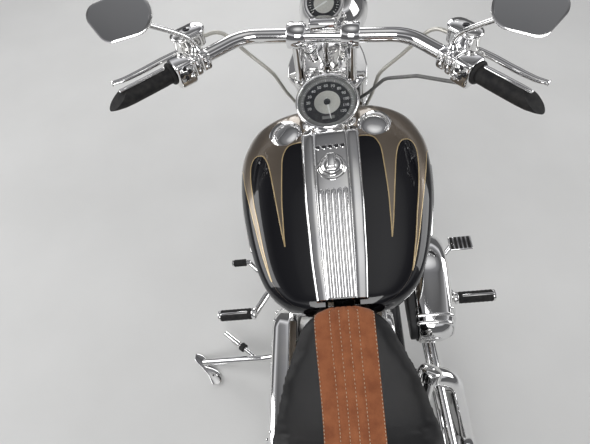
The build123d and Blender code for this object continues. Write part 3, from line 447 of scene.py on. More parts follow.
chrome = grained("chrome", (0.80, 0.80, 0.81), (0.86, 0.855, 0.84), 1, (0.025, 0.09), 18, 260, 0.000006)
brightSteel = grained("bright_steel", (0.55, 0.55, 0.56), (0.66, 0.65, 0.63), 1, (0.22, 0.38), 60, 900,
                      0.00008)
castAlloy = grained("cast_alloy", (0.42, 0.42, 0.43), (0.53, 0.52, 0.50), 1, (0.38, 0.56), 30, 700, 0.0004)
darkCast = grained("dark_cast", (0.018, 0.018, 0.020), (0.035, 0.034, 0.034), 0.2, (0.42, 0.62), 40, 1100,
                   0.0005)
blackGloss = grained("black_gloss", (0.006, 0.006, 0.008), (0.012, 0.012, 0.015), 0, (0.14, 0.26), 12, 160,
                     0.00004, coat=1)
framePaint = grained("frame_paint", (0.012, 0.012, 0.014), (0.022, 0.022, 0.025), 0, (0.2, 0.34), 16, 300,
                     0.00008, coat=0.8)
gripRubber = grained("grip_rubber", (0.014, 0.014, 0.015), (0.030, 0.029, 0.028), 0, (0.5, 0.7), 90, 1500,
                     0.0004)
tyreRubber = grained("tyre_rubber", (0.022, 0.022, 0.023), (0.048, 0.046, 0.044), 0, (0.72, 0.9), 26, 800,
                     0.0006)
beltRubber = grained("belt_rubber", (0.02, 0.02, 0.02), (0.04, 0.04, 0.04), 0, (0.6, 0.8), 60, 1200, 0.0004)
braid = grained("hose_braid", (0.50, 0.49, 0.45), (0.66, 0.64, 0.58), 0.5, (0.28, 0.44), 500, 1800, 0.0004)
cableGrey = grained("cable_grey", (0.13, 0.13, 0.13), (0.20, 0.20, 0.19), 0.2, (0.35, 0.5), 120, 900, 0.0002)
dialSilver = grained("dial_silver", (0.62, 0.61, 0.57), (0.70, 0.69, 0.65), 0.7, (0.32, 0.42), 300, 2000,
                     0.00005)
dialBlack = grained("dial_black", (0.035, 0.035, 0.04), (0.06, 0.06, 0.065), 0, (0.4, 0.5), 90, 900, 0.00005)
dialGrey = grained("dial_grey", (0.22, 0.22, 0.22), (0.28, 0.28, 0.27), 0.2, (0.4, 0.5), 90, 900, 0.00005)
dialWhite = grained("dial_white", (0.82, 0.82, 0.80), (0.88, 0.88, 0.86), 0, (0.4, 0.5), 90, 900, 0.00005)
goldLine = grained("gold_line", (0.46, 0.34, 0.17), (0.58, 0.44, 0.24), 0.35, (0.24, 0.38), 60, 700, 0.00004,
                   coat=1)
redLens = grained("red_lens", (0.38, 0.01, 0.01), (0.50, 0.02, 0.015), 0, (0.06, 0.12), 30, 300, 0.0003,
                  coat=1)
darkLens = grained("dark_lens", (0.012, 0.012, 0.014), (0.03, 0.03, 0.035), 0, (0.06, 0.14), 60, 600, 0.0001,
                   coat=1)
mirrorGlass = grained("mirror_glass", (0.84, 0.85, 0.86), (0.88, 0.885, 0.89), 1, (0.01, 0.03), 8, 90,
                      0.00001, strength=0.05)
thread = grained("pale_thread", (0.48, 0.36, 0.25), (0.60, 0.47, 0.34), 0, (0.6, 0.8), 900, 2500, 0.0002)


def clearGlass():
    finish, nodes, links, shader, spot = newFinish("clear_glass")
    haze = added(nodes, "TexNoise", Scale=40)
    wired(links, (spot, "Object", haze, "Vector"))
    shining(nodes, links, haze, shader, (0.0, 0.03))
    setInputs(shader, Base_Color=(0.96, 0.97, 0.97, 1), Transmission_Weight=1, IOR=1.12)
    return finish


glass = clearGlass()


def leather(name, tone, crease, rough, cell, depth):
    finish, nodes, links, shader, spot = newFinish(name)
    cells = added(nodes, "TexVoronoi", feature="DISTANCE_TO_EDGE", Scale=cell)
    cloud = added(nodes, "TexNoise", Scale=14, Detail=6)
    wired(links, (spot, "Object", cells, "Vector"), (spot, "Object", cloud, "Vector"))
    ramp = toned(nodes, links, (cloud, "Fac"), (tone, crease), 0.3, 0.75)
    wired(links, (ramp, "Color", shader, "Base Color"))
    shining(nodes, links, cloud, shader, rough)
    bumped(nodes, links, (cells, "Distance"), shader, 0.55, depth)
    setInputs(shader, Specular_IOR_Level=0.3)
    return finish


blackHide = leather("black_hide", (0.009, 0.009, 0.010), (0.020, 0.019, 0.019), (0.38, 0.52), 620, 0.0006)


def suedeFinish():
    finish, nodes, links, shader, spot = newFinish("tan_suede")
    nap = added(nodes, "TexNoise", Scale=1400, Detail=4)
    brushed = added(nodes, "TexNoise", Scale=34, Detail=5, Roughness=0.6)
    wired(links, (spot, "Object", nap, "Vector"), (spot, "Object", brushed, "Vector"))
    tones = ((0.30, 0.088, 0.030), (0.47, 0.160, 0.060))
    ramp = toned(nodes, links, (brushed, "Fac"), tones, 0.32, 0.66)
    grain = added(nodes, "Mix", data_type="RGBA", blend_type="MULTIPLY", Factor=0.5)
    wired(links, (ramp, "Color", grain, "A"), (nap, "Fac", grain, "B"),
          (grain, "Result", shader, "Base Color"))
    bumped(nodes, links, (nap, "Fac"), shader, 0.5, 0.0006)
    setInputs(shader, Roughness=0.92, Sheen_Weight=0.5, Sheen_Roughness=0.4)
    return finish


tanSuede = suedeFinish()

# Tank paint: lines of (x, share round the tank's outline), read from the paint scheme
tankShape = {
    "gapHalf": 34,
    "outline": [(0, 1.0), (0.25, 1.0), (0.5, 0.985), (0.74, 0.93), (0.9, 0.83), (0.985, 0.70), (1.0, 0.56),
                (0.985, 0.42), (0.92, 0.24), (0.78, 0.08), (0.5, 0.0), (0.2, 0.0), (0, 0.0)],
    "stations": [(1190, 52, 832, 804), (1184, 100, 847, 782), (1172, 140, 858, 752), (1140, 184, 867, 728),
                 (1090, 206, 871, 716), (1038, 214, 869, 711), (955, 211, 852, 708), (866, 196, 828, 706),
                 (787, 174, 806, 708), (736, 148, 790, 712), (704, 112, 779, 720), (694, 80, 770, 730)],
    "innerLine": [(1056, 0.4), (1055, 0.95), (1049, 1.34), (1032, 1.56), (1013, 1.66), (978, 1.71),
                  (942, 1.77), (906, 1.84), (872, 1.89), (842, 1.95), (816, 2.0)],
    "wedgeLine": [(816, 2.0), (842, 2.04), (876, 2.08), (910, 2.12), (946, 2.18), (987, 2.28), (1017, 2.43),
                  (1036, 2.68), (1041, 3.0)],
    "outerLine": [(1041, 3.0), (1037, 3.25), (1026, 3.44), (1010, 3.52), (981, 3.52), (950, 3.47),
                  (915, 3.43), (868, 3.36), (818, 3.40), (784, 3.46), (752, 3.64)],
    "sideLine": [(1046, 6.2), (1044, 5.6), (1037, 5.1), (1022, 4.6), (1000, 4.35), (977, 4.18), (950, 4.0),
                 (919, 3.84), (868, 3.68), (818, 3.62), (784, 3.60), (752, 3.66)],
    "lowLine": [(1046, 6.2), (1040, 6.9), (1020, 7.4), (970, 7.7), (900, 7.9), (820, 8.2), (740, 8.8)],
    "lineWidth": 2.3,
}
tankRing = smoothed(tankShape["outline"], 6)
tankTable = sorted(smoothed(tankShape["stations"], 8))


def tankPoint(x, share):  # share runs 0 to 12 from the top inner edge round to the bottom one
    upper = next(index for index, row in enumerate(tankTable) if row[0] >= x
                 - 0.001 or index == len(tankTable) - 1)
    low, high = tankTable[max(upper - 1, 0)], tankTable[upper]
    mix = (x - low[0]) / (high[0] - low[0]) if high[0] > low[0] else 0
    half, top, bottom = [low[item] + (high[item] - low[item]) * mix for item in (1, 2, 3)]
    spot = min(max(share, 0) * 6, len(tankRing) - 1.001)
    first, last = tankRing[int(spot)], tankRing[int(spot) + 1]
    out = first[0] + (last[0] - first[0]) * (spot - int(spot))
    rise = first[1] + (last[1] - first[1]) * (spot - int(spot))
    return Vector((x, tankShape["gapHalf"] + out * (half - tankShape["gapHalf"]), bottom
                   + rise * (top - bottom)))


def tankPaint():
    finish, nodes, links, shader, spot = newFinish("scalloped_paint")
    split = added(nodes, "SeparateXYZ")
    wired(links, (spot, "UV", split, "Vector"))
    lowX, highX = tankTable[0][0], tankTable[-1][0]

    def lineCurve(points):
        curve = added(nodes, "FloatCurve")
        line = curve.mapping.curves[0]
        points = sorted(((x - lowX) / (highX - lowX), share / 12) for x, share in points)
        points = [(0, points[0][1])] + points if points[0][0] > 0.001 else points
        points = points + [(1, points[-1][1])] if points[-1][0] < 0.999 else points
        line.points[0].location = points[0]
        line.points[1].location = points[-1]
        for point in points[1:-1]:
            line.points.new(*point)
        for point in line.points:
            point.handle_type = "VECTOR"
        curve.mapping.use_clip = False
        curve.mapping.update()
        wired(links, (split, "Y", curve, "Value"))
        return curve.outputs["Value"]

    def compared(first, operation, second):
        test = added(nodes, "Math", operation=operation)
        links.new(first, test.inputs[0])
        links.new(second, test.inputs[1])
        return test.outputs["Value"]

    share = split.outputs["X"]
    inner = lineCurve([(1058, 0), (1056.5, 0)] + tankShape["innerLine"][1:] + [(814, 0), (700, 0)])
    wedge = lineCurve(tankShape["wedgeLine"] + [(1042, 4.2), (815, 0), (700, 0)])
    outer = lineCurve([(1042, 2.0)] + tankShape["outerLine"])
    flank = lineCurve([(1048, 7.0)] + tankShape["sideLine"])
    low = lineCurve([(1048, 6.0)] + tankShape["lowLine"])
    insideInner = compared(share, "LESS_THAN", inner)
    insideOuter = compared(compared(share, "GREATER_THAN", wedge), "MULTIPLY",
                           compared(share, "LESS_THAN", outer))
    insideFlank = compared(compared(share, "GREATER_THAN", flank), "MULTIPLY",
                           compared(share, "LESS_THAN", low))
    black = compared(compared(insideInner, "MAXIMUM", insideOuter), "MAXIMUM", insideFlank)
    flake = added(nodes, "TexVoronoi", Scale=2600)
    cloud = added(nodes, "TexNoise", Scale=9)
    glitter = added(nodes, "Mix", data_type="FLOAT", Factor=0.35)
    tones = ((0.135, 0.110, 0.086), (0.260, 0.215, 0.170))
    metal = toned(nodes, links, (glitter, "Result"), tones)
    colour = added(nodes, "Mix", data_type="RGBA", B=(0.004, 0.004, 0.006, 1))
    metalness = added(nodes, "MapRange", To_Min=0.75, To_Max=0.0)
    wired(links, (spot, "Object", flake, "Vector"), (spot, "Object", cloud, "Vector"),
          (cloud, "Fac", glitter, "A"),
          (flake, "Distance", glitter, "B"), (metal, "Color", colour, "A"),
          (colour, "Result", shader, "Base Color"), (metalness, "Result", shader, "Metallic"))
    links.new(black, colour.inputs["Factor"])
    links.new(black, metalness.inputs["Value"])
    shining(nodes, links, cloud, shader, (0.26, 0.36))
    setInputs(shader, Specular_IOR_Level=0.1, Coat_Weight=0.8, Coat_Roughness=0.03)
    return finish


scallopPaint = tankPaint()
print("finishes made")

# Floor, lights and camera
backTone = (0.60, 0.60, 0.60, 1)  # floor and sky fade to it far off
clean()
bpy.ops.mesh.primitive_plane_add(size=14)
floor = bpy.context.object
floor.name = "floor"
floorFinish = grained("floor_pale", (0.66, 0.66, 0.65), (0.69, 0.69, 0.68), 0, (0.6, 0.7), 3, 60, 0.0005)
floorNodes, floorLinks = floorFinish.node_tree.nodes, floorFinish.node_tree.links
floorSpot = next(node for node in floorNodes if node.type == "TEX_COORD")
reach = added(floorNodes, "VectorMath", operation="LENGTH")
fade = added(floorNodes, "MapRange", interpolation_type="SMOOTHSTEP", From_Min=2.0, From_Max=5.5)
seen = added(floorNodes, "LightPath")
share = added(floorNodes, "Math", operation="MULTIPLY")
pale = added(floorNodes, "Emission", Color=backTone)
blend = added(floorNodes, "MixShader")
wired(floorLinks, (floorSpot, "Object", reach, 0), (reach, "Value", fade, "Value"),
      (fade, "Result", share, 0),
      (seen, "Is Camera Ray", share, 1), (share, "Value", blend, 0),
      (floorNodes["Principled BSDF"], "BSDF", blend, 1), (pale, "Emission", blend, 2),
      (blend, "Shader", floorNodes["Material Output"], "Surface"))
floor.data.materials.append(floorFinish)
lampTable = {  # place, aim, size, power
    "left": ((0.2, 3.4, 2.1), (0.1, 0, 0.6), 2.2, 62),
    "right": ((0.4, -3.2, 1.9), (0.2, 0, 0.6), 1.8, 40),
    "front": ((3.6, 0.4, 1.9), (0.4, 0, 0.6), 1.6, 34),
    "rear": ((-2.9, 0.3, 2.9), (0, 0, 0.6), 1.8, 58),
}
for lampName, (at, aim, size, power) in lampTable.items():
    bpy.ops.object.light_add(type="AREA", location=at)
    lamp = bpy.context.object
    lamp.name = lampName
    lamp.data.size = size
    lamp.data.energy = power
    lamp.rotation_euler = (Vector(aim) - Vector(at)).to_track_quat("-Z", "Y").to_euler()
world = bpy.data.worlds.new("studio")
bpy.context.scene.world = world
world.use_nodes = True
sky = world.node_tree.nodes
skyLinks = world.node_tree.links
spotNode = added(sky, "TexCoord")
splitNode = added(sky, "SeparateXYZ")
skyRamp = added(sky, "ValToRGB")
for position, tone in ((0.0, 0.16), (0.40, 0.50), (0.54, 0.95), (0.64, 0.34), (0.80, 0.12), (0.93, 0.30),
                       (1.0, 0.12)):
    if position in (0.0, 1.0):
        stop = skyRamp.color_ramp.elements[int(position)]
    else:
        stop = skyRamp.color_ramp.elements.new(position)
    stop.color = (tone, tone, tone * 1.03, 1)
sky["Background"].inputs["Strength"].default_value = 0.85
paleBack = added(sky, "Background", Color=backTone)
rayKind = added(sky, "LightPath")
shown = added(sky, "MixShader")
wired(skyLinks, (spotNode, "Generated", splitNode, "Vector"), (splitNode, "Z", skyRamp, "Fac"),
      (skyRamp, "Color", sky["Background"], "Color"), (rayKind, "Is Camera Ray", shown, 0),
      (sky["Background"], "Background", shown, 1), (paleBack, "Background", shown, 2),
      (shown, "Shader", sky["World Output"], "Surface"))
bpy.context.scene.view_settings.view_transform = "Standard"
bpy.ops.object.camera_add(location=(-0.58932, 0.05036, 1.64814), rotation=(0.6621, 0.023055, -1.568774))
camera = bpy.context.object
camera.data.lens = 31.21
camera.data.sensor_width = 36
camera.data.sensor_fit = "HORIZONTAL"
bpy.context.scene.camera = camera
print("stage set")

# Fuel tanks
rows = []
rearX, frontX = tankTable[0][0], tankTable[-1][0]
for step in range(64):
    x = rearX + (frontX - rearX) * step / 63
    rows.append([tankPoint(x, 12 * column / 60) for column in range(61)])
done(mirrored(skinned(rows, wrap=False)), "fuel_tank_shells", "chassis", scallopPaint, node="fuel_tanks",
     smooth=50)


def tapeOn(path, width, lift):  # a painted line that follows the tank's surface
    path = smoothed(path, 7)
    rows = []
    for index, (x, share) in enumerate(path):
        here = tankPoint(x, share)
        ahead = tankPoint(*path[min(index + 1, len(path) - 1)]) - tankPoint(*path[max(index - 1, 0)])
        out = (tankPoint(x - 3, share) - tankPoint(x + 3, share)).cross(tankPoint(x, share + 0.05)
                                                                        - tankPoint(x, share - 0.05))
        out.normalize()
        if out.y < 0:
            out.negate()
        side = ahead.cross(out).normalized()
        half = width / 2
        rows.append([here + side * half + out * lift * 0.4, here + out * lift, here - side * half
                     + out * lift * 0.4])
    return skinned(rows, wrap=False, caps=False)


tapes = []
for lineName in ("innerLine", "wedgeLine", "outerLine", "sideLine", "lowLine"):
    tapes.append(tapeOn(tankShape[lineName], tankShape["lineWidth"], 0.5))
stripes = modified(mirrored(outwards(joined(tapes))), "SOLIDIFY", thickness=0.25, offset=0)
done(stripes, "tank_pinstripes", "chassis", goldLine)

badge = {"front": 1010, "rear": 838, "share": 5.85, "half": 8}
rows = []
for step in range(25):
    t = step / 24
    x = badge["front"] + (badge["rear"] - badge["front"]) * t
    half = badge["half"] * (0.25 + 0.75 * sin(pi * (0.06 + 0.88 * t)) ** 0.6)
    row = []
    for across in (-1, -0.6, 0, 0.6, 1):
        here = tankPoint(x, badge["share"] + across * half / 30)
        row.append(here + Vector((0, 2.6 * (1 - across * across) + 0.2, 0)))
    rows.append(row)
badgeStrip = mirrored(skinned(rows, wrap=False, caps=False))
done(badgeStrip, "tank_side_strips", "chassis", chrome, smooth=60)
print("tanks")

# Console over the seam of the tanks
console = {
    "stations": [(1190, 44, 876, 868), (1165, 61, 874, 866), (1110, 63, 872, 864), (1086, 63, 872, 864),
                 (1066, 64, 884, 871), (1050, 64, 885.5, 871.5), (975, 63.5, 871, 857),
                 (900, 62, 852, 839.5), (835, 59, 833, 821), (770, 56, 815, 803.5), (699, 50, 788.6, 779)],
    "across": [(1.0, -1.0), (1.0, -0.55), (0.985, -0.28), (0.95, -0.1), (0.88, -0.02), (0.72, 0.03),
               (0.64, 0.04), (0.615, 0.0), (0.60, -0.14), (0.585, -0.16), (0.57, -0.02), (0.55, 0.06),
               (0.45, 0.09), (0.2, 0.1), (0, 0.1)],
    "ribs": (-25.6, -12.8, 0, 12.8, 25.6), "ribFront": 921, "ribHalf": 5.4,
    "lampX": 1021, "lampSpread": 13.4, "lampR": 4.8,
    "keyX": 971,
}
consoleRows = []
consoleTable = smoothed(console["stations"], 5)
for x, half, top, bottom in consoleTable:
    deep = top - bottom
    side = [(x, half * share, top + deep * drop) for share, drop in console["across"]]
    consoleRows.append(halved(side, 0))
done(skinned(consoleRows), "console_panel", "chassis", chrome, node="tank_console", smooth=40)


def consoleTop(x):
    row = min(consoleTable, key=lambda entry: abs(entry[0] - x))
    after = [entry for entry in consoleTable if entry[0] <= x]
    before = [entry for entry in consoleTable if entry[0] > x]
    if not after or not before:
        return row[2] + 0.1 * (row[2] - row[3])
    high, low = before[-1], after[0]
    mix = (x - low[0]) / (high[0] - low[0])
    return low[2] + (high[2] - low[2]) * mix + 1.3


ribs = []
for across in console["ribs"]:
    path = []
    widths = []
    for step in range(28):
        back = (0.0, 0.4, 1.2, 2.4, 3.8, 5.4)[step] if step < 6 else 5.4 + (220 - 5.4) * (step - 5) / 22
        x = console["ribFront"] - back
        path.append((x, across * (1.0 - 0.12 * step / 27), consoleTop(x) - 0.4))
        widths.append(sqrt(max(1 - (1 - min(back / 5.4, 1)) ** 2, 0.02)))
    ribs.append(tubeAlong(path, console["ribHalf"], 14, widths))
done(joined(ribs), "console_ribs", "chassis", chrome, smooth=60)

slopeAt = facing((console["keyX"], 0, consoleTop(console["keyX"]) - 1), (-0.235, 0, 0.972), (1, 0, 0))
keyBase = turned([(0, 0), (31, 0), (31.5, 2.5), (30, 4.5), (27.5, 5), (27, 7), (26, 8.4), (24, 9),
                  (22.5, 11.5), (20, 13.6), (15, 15.6), (9, 17), (4, 17.6), (0, 17.8)], 56)
flap = softBox((21, 36, 11), (0, 7, 15), 5.2, 4)
hinge = moved(pin(3.4, -9, 9, 16), facing((0, -13, 13), (1, 0, 0)))
done(moved(joined([keyBase, flap, hinge]), slopeAt), "ignition_cover", "chassis", chrome, smooth=40)

lampLens = turned([(0, 0), (console["lampR"], 0), (console["lampR"], 0.9), (2.8, 2.0), (0, 2.4)], 20)
lampRing = turned([(4.7, -0.5), (5.8, -0.5), (5.8, 0.5), (5.3, 0.9), (4.7, 0.6)], 20, ring=True)
lampSpots = []
for number in range(5):
    x = console["lampX"]
    lampSpots.append(facing((x, (number - 2) * console["lampSpread"], consoleTop(x) + 0.3), (-0.19, 0, 0.98),
                            (1, 0, 0)))
done(repeated(lampLens, lampSpots), "warning_lamps", "chassis", darkLens, smooth=50)
done(repeated(lampRing, lampSpots), "warning_lamp_rings", "chassis", chrome)

# Speedometer in its pod
speedo = {"place": leaned((1149, 0, 901), 19) @ Matrix.Scale(1.035, 4), "numbers": 12,
          "startAngle": 218, "sweep": 256}
pod = turned([(0, -32), (58, -32), (64, -29), (69, -22), (70.5, -16), (70, -8), (71.2, -4), (71.4, 0),
              (70.6, 3), (69, 5.4), (67, 6.4), (64.6, 5.8), (63, 3.5), (62.4, -1), (62, -7), (0, -7)], 88)
done(moved(pod, speedo["place"]), "speedo_pod", "chassis", chrome, smooth=40)
face = turned([(0, -8), (62, -8), (62, -5.4), (54, -4.6), (0, -4.6)], 72)
done(moved(face, speedo["place"]), "speedo_face", "chassis", dialGrey, node="speedometer")
band = turned([(27, -4.6), (52.5, -4.6), (52.5, -4.1), (27, -4.1)], 72, ring=True)
done(moved(band, speedo["place"]), "speedo_number_band", "chassis", dialBlack)
hub = turned([(0, -4.6), (29, -4.6), (29, -3.4), (28, -3), (9, -3), (0, -3)], 64)
done(moved(hub, speedo["place"]), "speedo_centre", "chassis", dialSilver)


def dialAt(share, radius, height):  # a place on the dial, share 0 to 1 clockwise along the scale
    turn = radians(speedo["startAngle"] - speedo["sweep"] * share)
    return Vector((radius * cos(turn), radius * sin(turn), height)), turn


marks = []
for number in range(61):
    spot, turn = dialAt(number / 60, 57 if number % 5 else 56, -4.3)
    size = (3.4, 0.6, 0.5) if number % 5 else (6, 1.1, 0.5)
    mark = softBox(size, (0, 0, 0), 0.12, 1)
    marks.append(moved(mark, Matrix.Translation(spot) @ Matrix.Rotation(turn, 4, "Z")))
for number in range(1, speedo["numbers"] + 1):
    spot, turn = dialAt(number / speedo["numbers"], 42.5, -4.0)
    bpy.ops.object.text_add()
    label = bpy.context.object
    label.data.body = str(number * 10)
    label.data.size = 9.5
    label.data.extrude = 0.15
    label.data.align_x = "CENTER"
    label.data.align_y = "CENTER"
    selected(label)
    bpy.ops.object.convert(target="MESH")
    marks.append(shifted(bpy.context.object, spot))
done(moved(joined(marks), speedo["place"]), "speedo_marks", "chassis", dialWhite, smooth=20)
needle = prism([(-10, -2.2), (-10, 2.2), (0, 2.6), (43, 0.7), (45, 0), (43, -0.7), (0, -2.6)], -1.9, -1.1)
needle = moved(needle, Matrix.Rotation(radians(-82), 4, "Z"))
done(moved(needle, speedo["place"]), "speedo_needle", "chassis", dialWhite)
boss = turned([(0, -3), (7.5, -3), (7.5, -0.6), (6, 0.4), (0, 0.7)], 32)
done(moved(boss, speedo["place"]), "speedo_boss", "chassis", dialBlack)
window = softBox((27, 7, 1.6), (0, -38, -3.6), 0.5, 2)
done(moved(window, speedo["place"]), "speedo_window", "chassis", dialGrey)
lens = turned([(0, 3.2), (30, 2.6), (52, 1.2), (62.2, -0.6), (62.2, -1.8), (52, 0), (30, 1.4), (0, 2.0)], 72)
done(moved(lens, speedo["place"]), "speedo_glass", "chassis", glass, smooth=50)

# Fuel caps
cap = {"at": (1088, 102, 869), "turn": (-6, -10)}
for side, capName in ((1, "fuel_cap_left"), (-1, "fuel_cap_right")):
    lean = Euler((radians(cap["turn"][0] * side), radians(cap["turn"][1]), 0)).to_matrix().to_4x4()
    place = Matrix.Translation((cap["at"][0], side * cap["at"][1], cap["at"][2])) @ lean
    body = turned([(0, -4), (38.5, -4), (39.5, -1.5), (38.4, 0.6), (35.4, 1.2), (35.2, 4.5), (34, 7.4),
                   (30, 9.6), (20, 11.8), (10, 12.8), (0, 13)], 60)
    if side > 0:
        groove = moved(softBox((90, 3.2, 8), (0, 0, 14.6), 0.8, 1), Matrix.Rotation(radians(-35), 4, "Z"))
        body = cut(body, groove)
    else:
        notch = pin(3.4, -8, 12, 12)
        body = cut(body, repeated(notch, ringOf(16, (37.2, 0, 6))))
    done(moved(body, place), capName, "chassis", chrome, node="fuel_caps", smooth=28)
print("console, speedometer and caps")

# Saddle
saddle = {
    "stations": [(696, 34, 778, 764), (686, 62, 779, 756), (660, 92, 768, 742), (625, 114, 742, 716),
                 (590, 134, 715, 690), (540, 154, 678, 652), (480, 170, 652, 622), (420, 176, 649, 610),
                 (360, 176, 660, 606), (310, 168, 685, 618), (265, 150, 708, 640), (238, 122, 718, 656),
                 (226, 90, 718, 668)],
    "outline": [(0.0, 0.0), (0.45, 0.0), (0.86, 0.02), (0.985, 0.16), (1.0, 0.34), (0.985, 0.5),
                (0.93, 0.68), (0.82, 0.82), (0.64, 0.92), (0.42, 0.975), (0.2, 0.995), (0.0, 1.0)],
    "insertHalf": 60, "insertFront": 689, "insertRear": 232,
    "seams": (-0.45, -0.15, 0.15, 0.45), "pitch": 6.4, "swell": 0.005,
}
rows = []
for x, half, top, bottom in smoothed(saddle["stations"], 4):
    half, top, bottom = half - 2, top - 2, bottom + 1
    side = [(x, half * share, bottom + (top - bottom) * rise) for share,
            rise in smoothed(saddle["outline"], 2)]
    rows.append(halved(side, 1))
seatPad = skinned(rows)
seatPad.name = "saddle"
seatPad.data.transform(Matrix.Scale(0.001, 4))
modified(seatPad, "REMESH", mode="VOXEL", voxel_size=0.0055)
before = [vert.co.copy() for vert in seatPad.data.vertices]
cloth = seatPad.modifiers.new("cushion", "CLOTH")
cloth.settings.use_pressure = True
cloth.settings.uniform_pressure_force = 4
cloth.settings.effector_weights.gravity = 0
cloth.settings.quality = 5
for number in range(1, 15):
    bpy.context.scene.frame_set(number)
bpy.ops.object.modifier_apply(modifier=cloth.name)
bpy.context.scene.frame_set(1)
for vert, start in zip(seatPad.data.vertices, before):
    shift = vert.co - start
    if shift.length > saddle["swell"]:
        vert.co = start + shift.normalized() * saddle["swell"]
modified(seatPad, "SMOOTH", iterations=6)
seatPad.data.transform(Matrix.Scale(1000, 4))


def insertHalf(x):  # half width of the suede, rounded at its front
    front = saddle["insertFront"] - x
    return saddle["insertHalf"] * min(1, 0.62 + 0.38 * sqrt(max(1 - (1 - min(front / 13, 1)) ** 2, 0)))


def seatTop(x, y):
    hit, spot = seatPad.ray_cast(Vector((x, y, 900)), Vector((0, 0, -1)))[:2]
    return spot if hit else Vector((x, y, 700))


bpy.context.view_layer.update()
rows = []
for step in range(93):
    x = saddle["insertRear"] + (saddle["insertFront"] - saddle["insertRear"]) * (step / 92)
    half = insertHalf(x)
    row = []
    for column in range(41):
        across = -1 + 2 * column / 40
        spot = seatTop(x, across * half)
        rise = 4.2 * (1 - abs(across) ** 6) - 0.6
        for seam in saddle["seams"]:
            rise -= 2.1 * max(0, 1 - abs(across - seam) / 0.075)
        row.append((x, across * half, spot.z + rise))
    rows.append(row)
insert = modified(skinned(rows, wrap=False, caps=False), "SOLIDIFY", thickness=5, offset=1)
insertPiece = done(insert, "seat_insert", "chassis", tanSuede, smooth=60)

stitch = turned([(0, -2.1), (0.6, -1.7), (0.8, 0), (0.6, 1.7), (0, 2.1)], 6)
spots = []
lines = [(seam, 0.6) for seam in saddle["seams"]] + [(-0.95, -0.7), (0.95, -0.7)]
for across, lift in lines:
    x = saddle["insertRear"] + 6
    while x < saddle["insertFront"] - 9:
        half = insertHalf(x)
        here = seatTop(x, across * half)
        ahead = seatTop(x + 4, across * insertHalf(x + 4))
        raised = Vector((0, 0, 1.7 + lift if abs(across) < 1 else 0.7))
        spots.append(facing(here + raised, ahead - here))
        x += saddle["pitch"]
done(repeated(stitch, spots), "seat_stitching", "chassis", thread, smooth=80)
seatPiece = done(seatPad, "saddle", "chassis", blackHide, node="seat", smooth=70)
print("saddle")

# Handlebar and risers, drawn on the upright bike and turned with the fork
bars = {"x": 1235, "z": 1015, "bendY": 184, "end": (1012, 417, 1007), "bend": 92, "r": 15.9}
barBend = Vector((bars["x"], bars["bendY"], bars["z"]))
barEnd = Vector(bars["end"])
barWay = (barEnd - barBend).normalized()


def onBar(distance, side=1):  # Z outwards along the bar, X up
    at = barEnd - barWay * distance
    place = facing((at.x, side * at.y, at.z), (barWay.x, side * barWay.y, barWay.z))
    return place @ Matrix.Rotation(pi / 2, 4, "Z")


innerEnd = barEnd - barWay * 60
tubePath = [innerEnd, barBend, Vector((barBend.x, -barBend.y, barBend.z)),
            Vector((innerEnd.x, -innerEnd.y, innerEnd.z))]
path = rounded(tubePath, bars["bend"], 12)
done(tubeAlong(path, bars["r"], 28), "handlebar_tube", "fork", chrome, barPlace, node="handlebar", smooth=60)

riserPieces = []
for side in (1, -1):
    foot = onStem(0, side * 60, 1036)
    top = Vector((bars["x"], side * 60, bars["z"]))
    lean = (top - foot).normalized()
    tall = (top - foot).length
    column = turned([(0, 0), (18, 0), (19, 1.5), (19, 6), (17.5, 8), (18.5, 10), (17, 12), (14.4, 16),
                     (13.6, 30), (13.4, tall * 0.5), (14, tall - 30), (17, tall - 16), (17, tall),
                     (0, tall)], 40)
    riserPieces.append(moved(column, facing(foot, lean)))
    clampShell = turned([(15.9, -20), (26, -20), (27.5, -18), (28, 0), (27.5, 18), (26, 20), (15.9, 20)], 40,
                        ring=True)
    riserPieces.append(moved(clampShell, facing(top, (0, 1, 0))))
    for shift in (-11, 11):
        screw = turned([(0, 0), (5, 0), (5, 4), (4.4, 5), (2.6, 5), (2.4, 2.5), (0, 2.5)], 12)
        riserPieces.append(moved(screw, facing(top + Vector((10, shift, 23)), (0.3, 0, 1))))
done(joined(riserPieces), "risers_and_clamps", "fork", chrome, barPlace, node="risers", smooth=40)

# Grips
for side, label in bothSides:
    inset = turned([(12.6, 0), (24.5, 0), (24.5, 4), (23, 6), (19.5, 7), (19.2, 12), (19.6, 40), (19.6, 100),
                    (18.6, 122), (15, 142), (11, 154), (0, 157)], 36)
    editing(inset)
    bpy.ops.mesh.bisect(plane_co=(0, 0, 136), plane_no=(0.85, 0, 0.53), use_fill=True, clear_outer=True)
    clean()
    done(moved(inset, onBar(138, side)), f"grip_{label}", "fork", gripRubber, barPlace, node="grips")
    strip = softBox((6, 9, 108), (19.2, 0, 66), 2.6, 4)
    done(moved(strip, onBar(138, side)), f"grip_inlay_{label}", "fork", chrome, barPlace)

